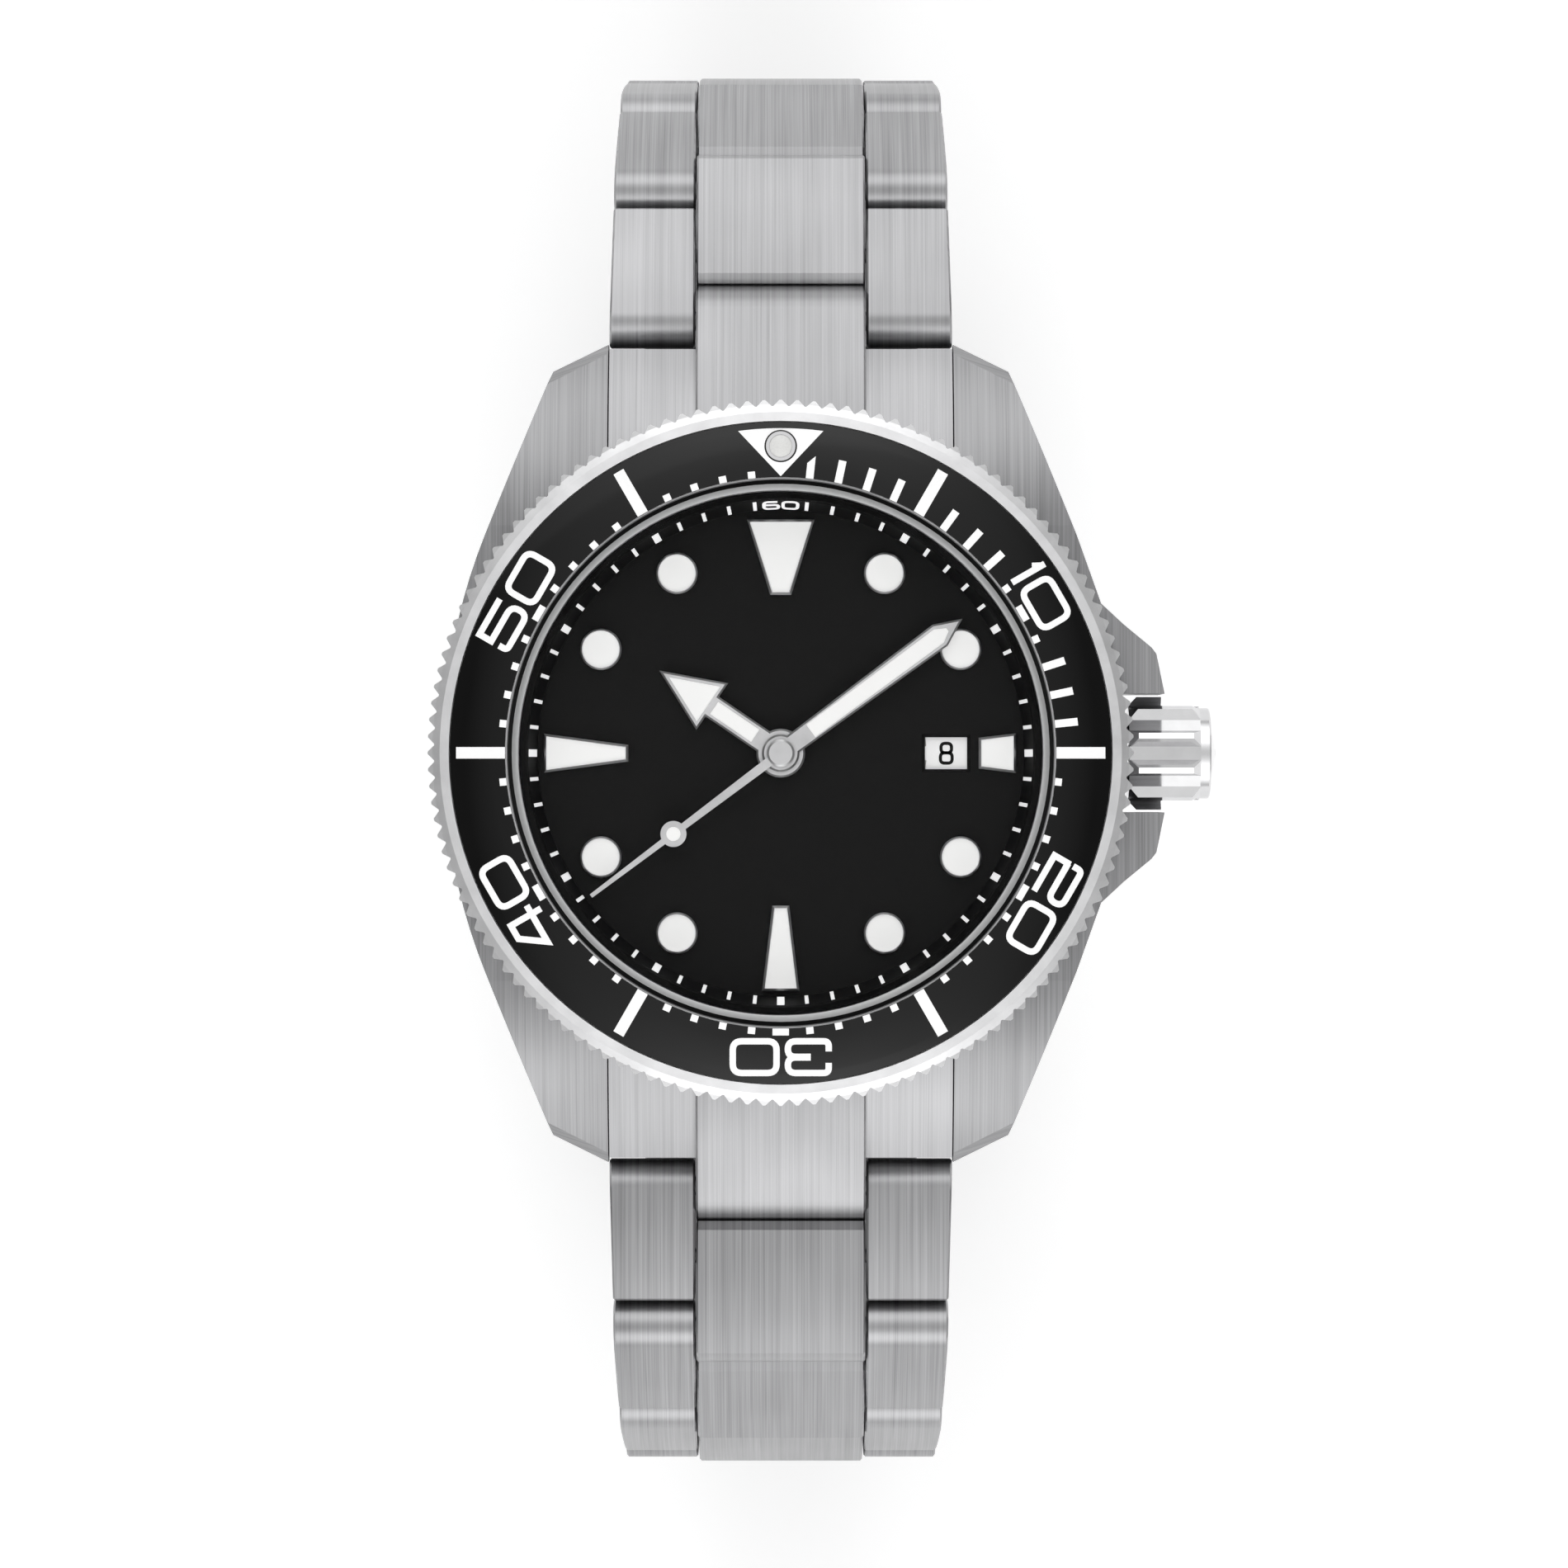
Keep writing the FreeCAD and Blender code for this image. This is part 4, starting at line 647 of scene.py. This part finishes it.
def dress_cad_nodes():
    """Gives each CAD node its own finish, the bracelet's brushing or its slot's material."""
    slots = {part["node"]: part["material_slot"] for part in frame["record"]["subparts"]}
    for node, piece in NODES.items():
        material = SLOT_MATERIALS[slots[node]]
        if node.startswith(BRACELET_NAMES) and slots[node] == "steel":
            material = BRACELET_STEEL
        piece.data.materials.clear()
        piece.data.materials.append(NODE_MATERIALS.get(node, material))


# ---------------------------------------------------------------- bezel scale
def triangle():
    """Triangle with a slightly bowed base and a round hole for the capsule."""
    across = [TRIANGLE_HALF * (1 - 2 * k / TRIANGLE_BASE_STEPS) for k in range(TRIANGLE_BASE_STEPS + 1)]
    outline = [(0.0, TRIANGLE_TIP)] + [(x, math.sqrt(HASH_OUT ** 2 - x ** 2)) for x in across]
    low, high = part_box("bezel_pearl")
    centre = (low + high) / 2 / MM
    turns = [math.tau * k / PEARL_HOLE_STEPS for k in range(PEARL_HOLE_STEPS)]
    hole = [(centre.x + PEARL_HOLE_R * math.cos(a), centre.y - PEARL_HOLE_R * math.sin(a)) for a in turns]
    loops = [[Vector((x, y, 0)) for x, y in loop] for loop in (outline, hole)]
    flat = loops[0] + loops[1]
    return [[flat[i] for i in corners] for corners in tessellate_polygon(loops)]


def build_bezel_scale():
    """Marks, numerals and triangle, printed on the insert."""
    place = onto_top("bezel_insert")
    marks = []
    for minute in range(1, 60):
        if minute % 10 == 0:
            shape = bar(DASH_W, INSERT_MARK_IN, SQUARE_OUT)
        elif minute % 5 == 0:
            shape = bar(HASH_W, INSERT_MARK_IN, HASH_OUT)
        elif minute in BAR_MINUTES:
            shape = bar(BAR_W, INSERT_MARK_IN, BAR_OUT)
        else:
            shape = bar(SQUARE_W, INSERT_MARK_IN, SQUARE_OUT)
        if minute == 1:
            # this bar's outer corner is cut parallel to the triangle's side
            shape[0][3].y -= BAR_W
        marks.append(turned(shape, 0, minute * MINUTE_TURN))
    printed("insert_minute_marks", marks, place, WHITE_PRINT, "bezel")
    numerals = []
    for tens in range(1, 6):
        strokes = number_quads(
            f"{tens}0", NUMERAL_WIDTH, NUMERAL_WIDTH_ELSE, NUMERAL_HEIGHT,
            NUMERAL_STROKE, NUMERAL_CORNER, NUMERAL_GAP,
        )
        shift = TEN_SHIFT if tens == 1 else 0.0
        numerals += [turned(quads, NUMERAL_R, tens * 10 * MINUTE_TURN, shift) for quads in strokes]
    printed("insert_numerals", numerals, place, WHITE_PRINT, "bezel")
    printed("insert_triangle", [triangle()], place, WHITE_PRINT, "bezel")


# ---------------------------------------------------------------- flange minute track
def flange_shape(faces, degrees):
    """Faces drawn in millimetres along the ring and in shares of its height, wrapped round the ring.

    A share from 0 to 1 becomes up to 1 more in radius, which the placing turns back into a height.
    """
    result = []
    for face in faces:
        corners = []
        for x, share in face:
            a = math.radians(degrees) + x / FLANGE_R
            radius = FLANGE_R + share
            corners.append(Vector((radius * math.sin(a), radius * math.cos(a))))
        result.append(corners)
    return result


def flange_tick(width):
    """A tick drawn across the print's share of the ring's height."""
    half = width / 2
    return [[(-half, FLANGE_LOW), (half, FLANGE_LOW), (half, FLANGE_HIGH), (-half, FLANGE_HIGH)]]


def flange_digit(digit, middle):
    """A digit's strokes as wide as it is high, then stretched to the ring's height."""
    size = FLANGE_DIGIT_W

    def moved(p):
        return p[0] + middle, FLANGE_LOW + (FLANGE_HIGH - FLANGE_LOW) * (p[1] / size + 0.5)

    strokes = digit_quads(digit, size, size, FLANGE_STROKE, FLANGE_CORNER)
    return [[[moved(p) for p in quad] for quad in quads] for quads in strokes]


def build_flange_track():
    """Minute ticks and the 60 on the sloping ring round the dial."""
    place = onto_flange("rehaut_ring")
    marks = []
    for minute in range(1, 60):
        degrees = FIVE_DEGREES if minute % 5 == 0 else TICK_DEGREES
        tick = flange_tick(math.radians(degrees) * FLANGE_R)
        marks.append(flange_shape(tick, minute * MINUTE_TURN))
    offset = (FLANGE_DIGIT_W + FLANGE_DIGIT_GAP) / 2
    for digit, middle in (("6", -offset), ("0", offset)):
        marks += [flange_shape(quads, 0) for quads in flange_digit(digit, middle)]
    printed("flange_minute_marks", marks, place, TRACK_PRINT, "watch_head")


# ---------------------------------------------------------------- date numerals
def on_disc(p, angle):
    """A point of a numeral that reads upright at 3 o'clock, turned with the disc."""
    out = DATE_NUMERAL_R + p[0]
    x = out * math.cos(angle) - p[1] * math.sin(angle)
    y = out * math.sin(angle) + p[1] * math.cos(angle)
    return Vector((x, y))


def build_date_numerals():
    """The days of the month, printed round the date disc."""
    shapes = []
    for day in range(1, DATE_DAYS + 1):
        width = DATE_ALONE_W if day < 10 else DATE_PAIR_W
        strokes = number_quads(
            str(day), {"1": DATE_ONE_W}, width, DATE_HEIGHT, DATE_STROKE, DATE_CORNER, DATE_GAP
        )
        angle = math.radians((DATE_SHOWN - day) * 360 / DATE_DAYS)
        shapes += [[[on_disc(p, angle) for p in quad] for quad in quads] for quads in strokes]
    printed("date_numerals", shapes, onto_top("date_disc"), BLACK_PRINT, "date_disc")


# ---------------------------------------------------------------- floor, light and camera
def build_floor():
    """A pale floor just under the bracelet."""
    level = CAD_BOX[0][2] - FLOOR_BELOW * MM
    half = FLOOR_HALF * MM
    corners = [(-half, -half, level), (half, -half, level), (half, half, level), (-half, half, level)]
    mesh = bpy.data.meshes.new("floor")
    mesh.from_pydata(corners, [], [(0, 1, 2, 3)])
    floor = bpy.data.objects.new("floor", mesh)
    bpy.context.scene.collection.objects.link(floor)
    mesh.materials.append(pale_floor("pale_floor"))


def map_range(tree, value, from_low, from_high, to_low, to_high):
    """A node that maps a value from one range to another; to_high may be another node's output."""
    node = tree.nodes.new("ShaderNodeMapRange")
    tree.links.new(value, node.inputs["Value"])
    node.inputs["From Min"].default_value = from_low
    node.inputs["From Max"].default_value = from_high
    node.inputs["To Min"].default_value = to_low
    if isinstance(to_high, bpy.types.NodeSocket):
        tree.links.new(to_high, node.inputs["To Max"])
    else:
        node.inputs["To Max"].default_value = to_high
    return node.outputs["Result"]


def build_world():
    """Soft light above and towards both ends of the strap, dim at the case's sides, over a pale horizon."""
    world = bpy.data.worlds.new("studio")
    bpy.context.scene.world = world
    world.use_nodes = True
    tree = world.node_tree
    background = tree.nodes["Background"]
    coords = tree.nodes.new("ShaderNodeTexCoord")
    split = tree.nodes.new("ShaderNodeSeparateXYZ")
    tree.links.new(coords.outputs["Generated"], split.inputs[0])
    upward = split.outputs["Z"]

    ramp = tree.nodes.new("ShaderNodeValToRGB")
    elements = ramp.color_ramp.elements
    while len(elements) < len(SKY_STOPS):
        elements.new(0.5)
    for element, (position, level) in zip(elements, SKY_STOPS):
        element.position = position
        element.color = (level, level, level, 1)
    tree.links.new(map_range(tree, upward, -1.0, 1.0, 0.0, 1.0), ramp.inputs[0])
    tree.links.new(ramp.outputs[0], background.inputs["Color"])

    sideways = tree.nodes.new("ShaderNodeMath")
    sideways.operation = "ABSOLUTE"
    tree.links.new(split.outputs["X"], sideways.inputs[0])
    side_level = map_range(tree, upward, HORIZON_FROM, HORIZON_TO, SKY, SIDE_SKY)
    strength = map_range(tree, sideways.outputs[0], SIDE_FROM, SIDE_TO, SKY, side_level)
    tree.links.new(strength, background.inputs["Strength"])


def area_light(name, place, size, power):
    """A soft rectangular light that faces the origin."""
    light = bpy.data.lights.new(name, "AREA")
    light.shape = "RECTANGLE"
    light.size, light.size_y = size
    light.energy = power
    lamp = bpy.data.objects.new(name, light)
    lamp.location = place
    lamp.rotation_euler = (-Vector(place)).to_track_quat("-Z", "Y").to_euler()
    bpy.context.scene.collection.objects.link(lamp)


def build_camera():
    """A camera straight above the bezel, looking down."""
    camera = bpy.data.cameras.new("camera")
    camera.sensor_width = SENSOR
    camera.lens = SENSOR * CAMERA_ABOVE_BEZEL / FRAME_WIDTH
    camera.clip_start = NEAR_CLIP * MM
    eye = bpy.data.objects.new("camera", camera)
    bezel_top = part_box("bezel")[1].z
    eye.location = (CAMERA_X * MM, CAMERA_Y * MM, bezel_top + CAMERA_ABOVE_BEZEL * MM)
    bpy.context.scene.collection.objects.link(eye)
    bpy.context.scene.camera = eye


dress_cad_nodes()
build_bezel_scale()
build_flange_track()
build_date_numerals()
build_floor()
build_world()
area_light("key_light", **KEY_LIGHT)
area_light("fill_light", **FILL_LIGHT)
build_camera()
bpy.context.scene.view_settings.view_transform = "Standard"
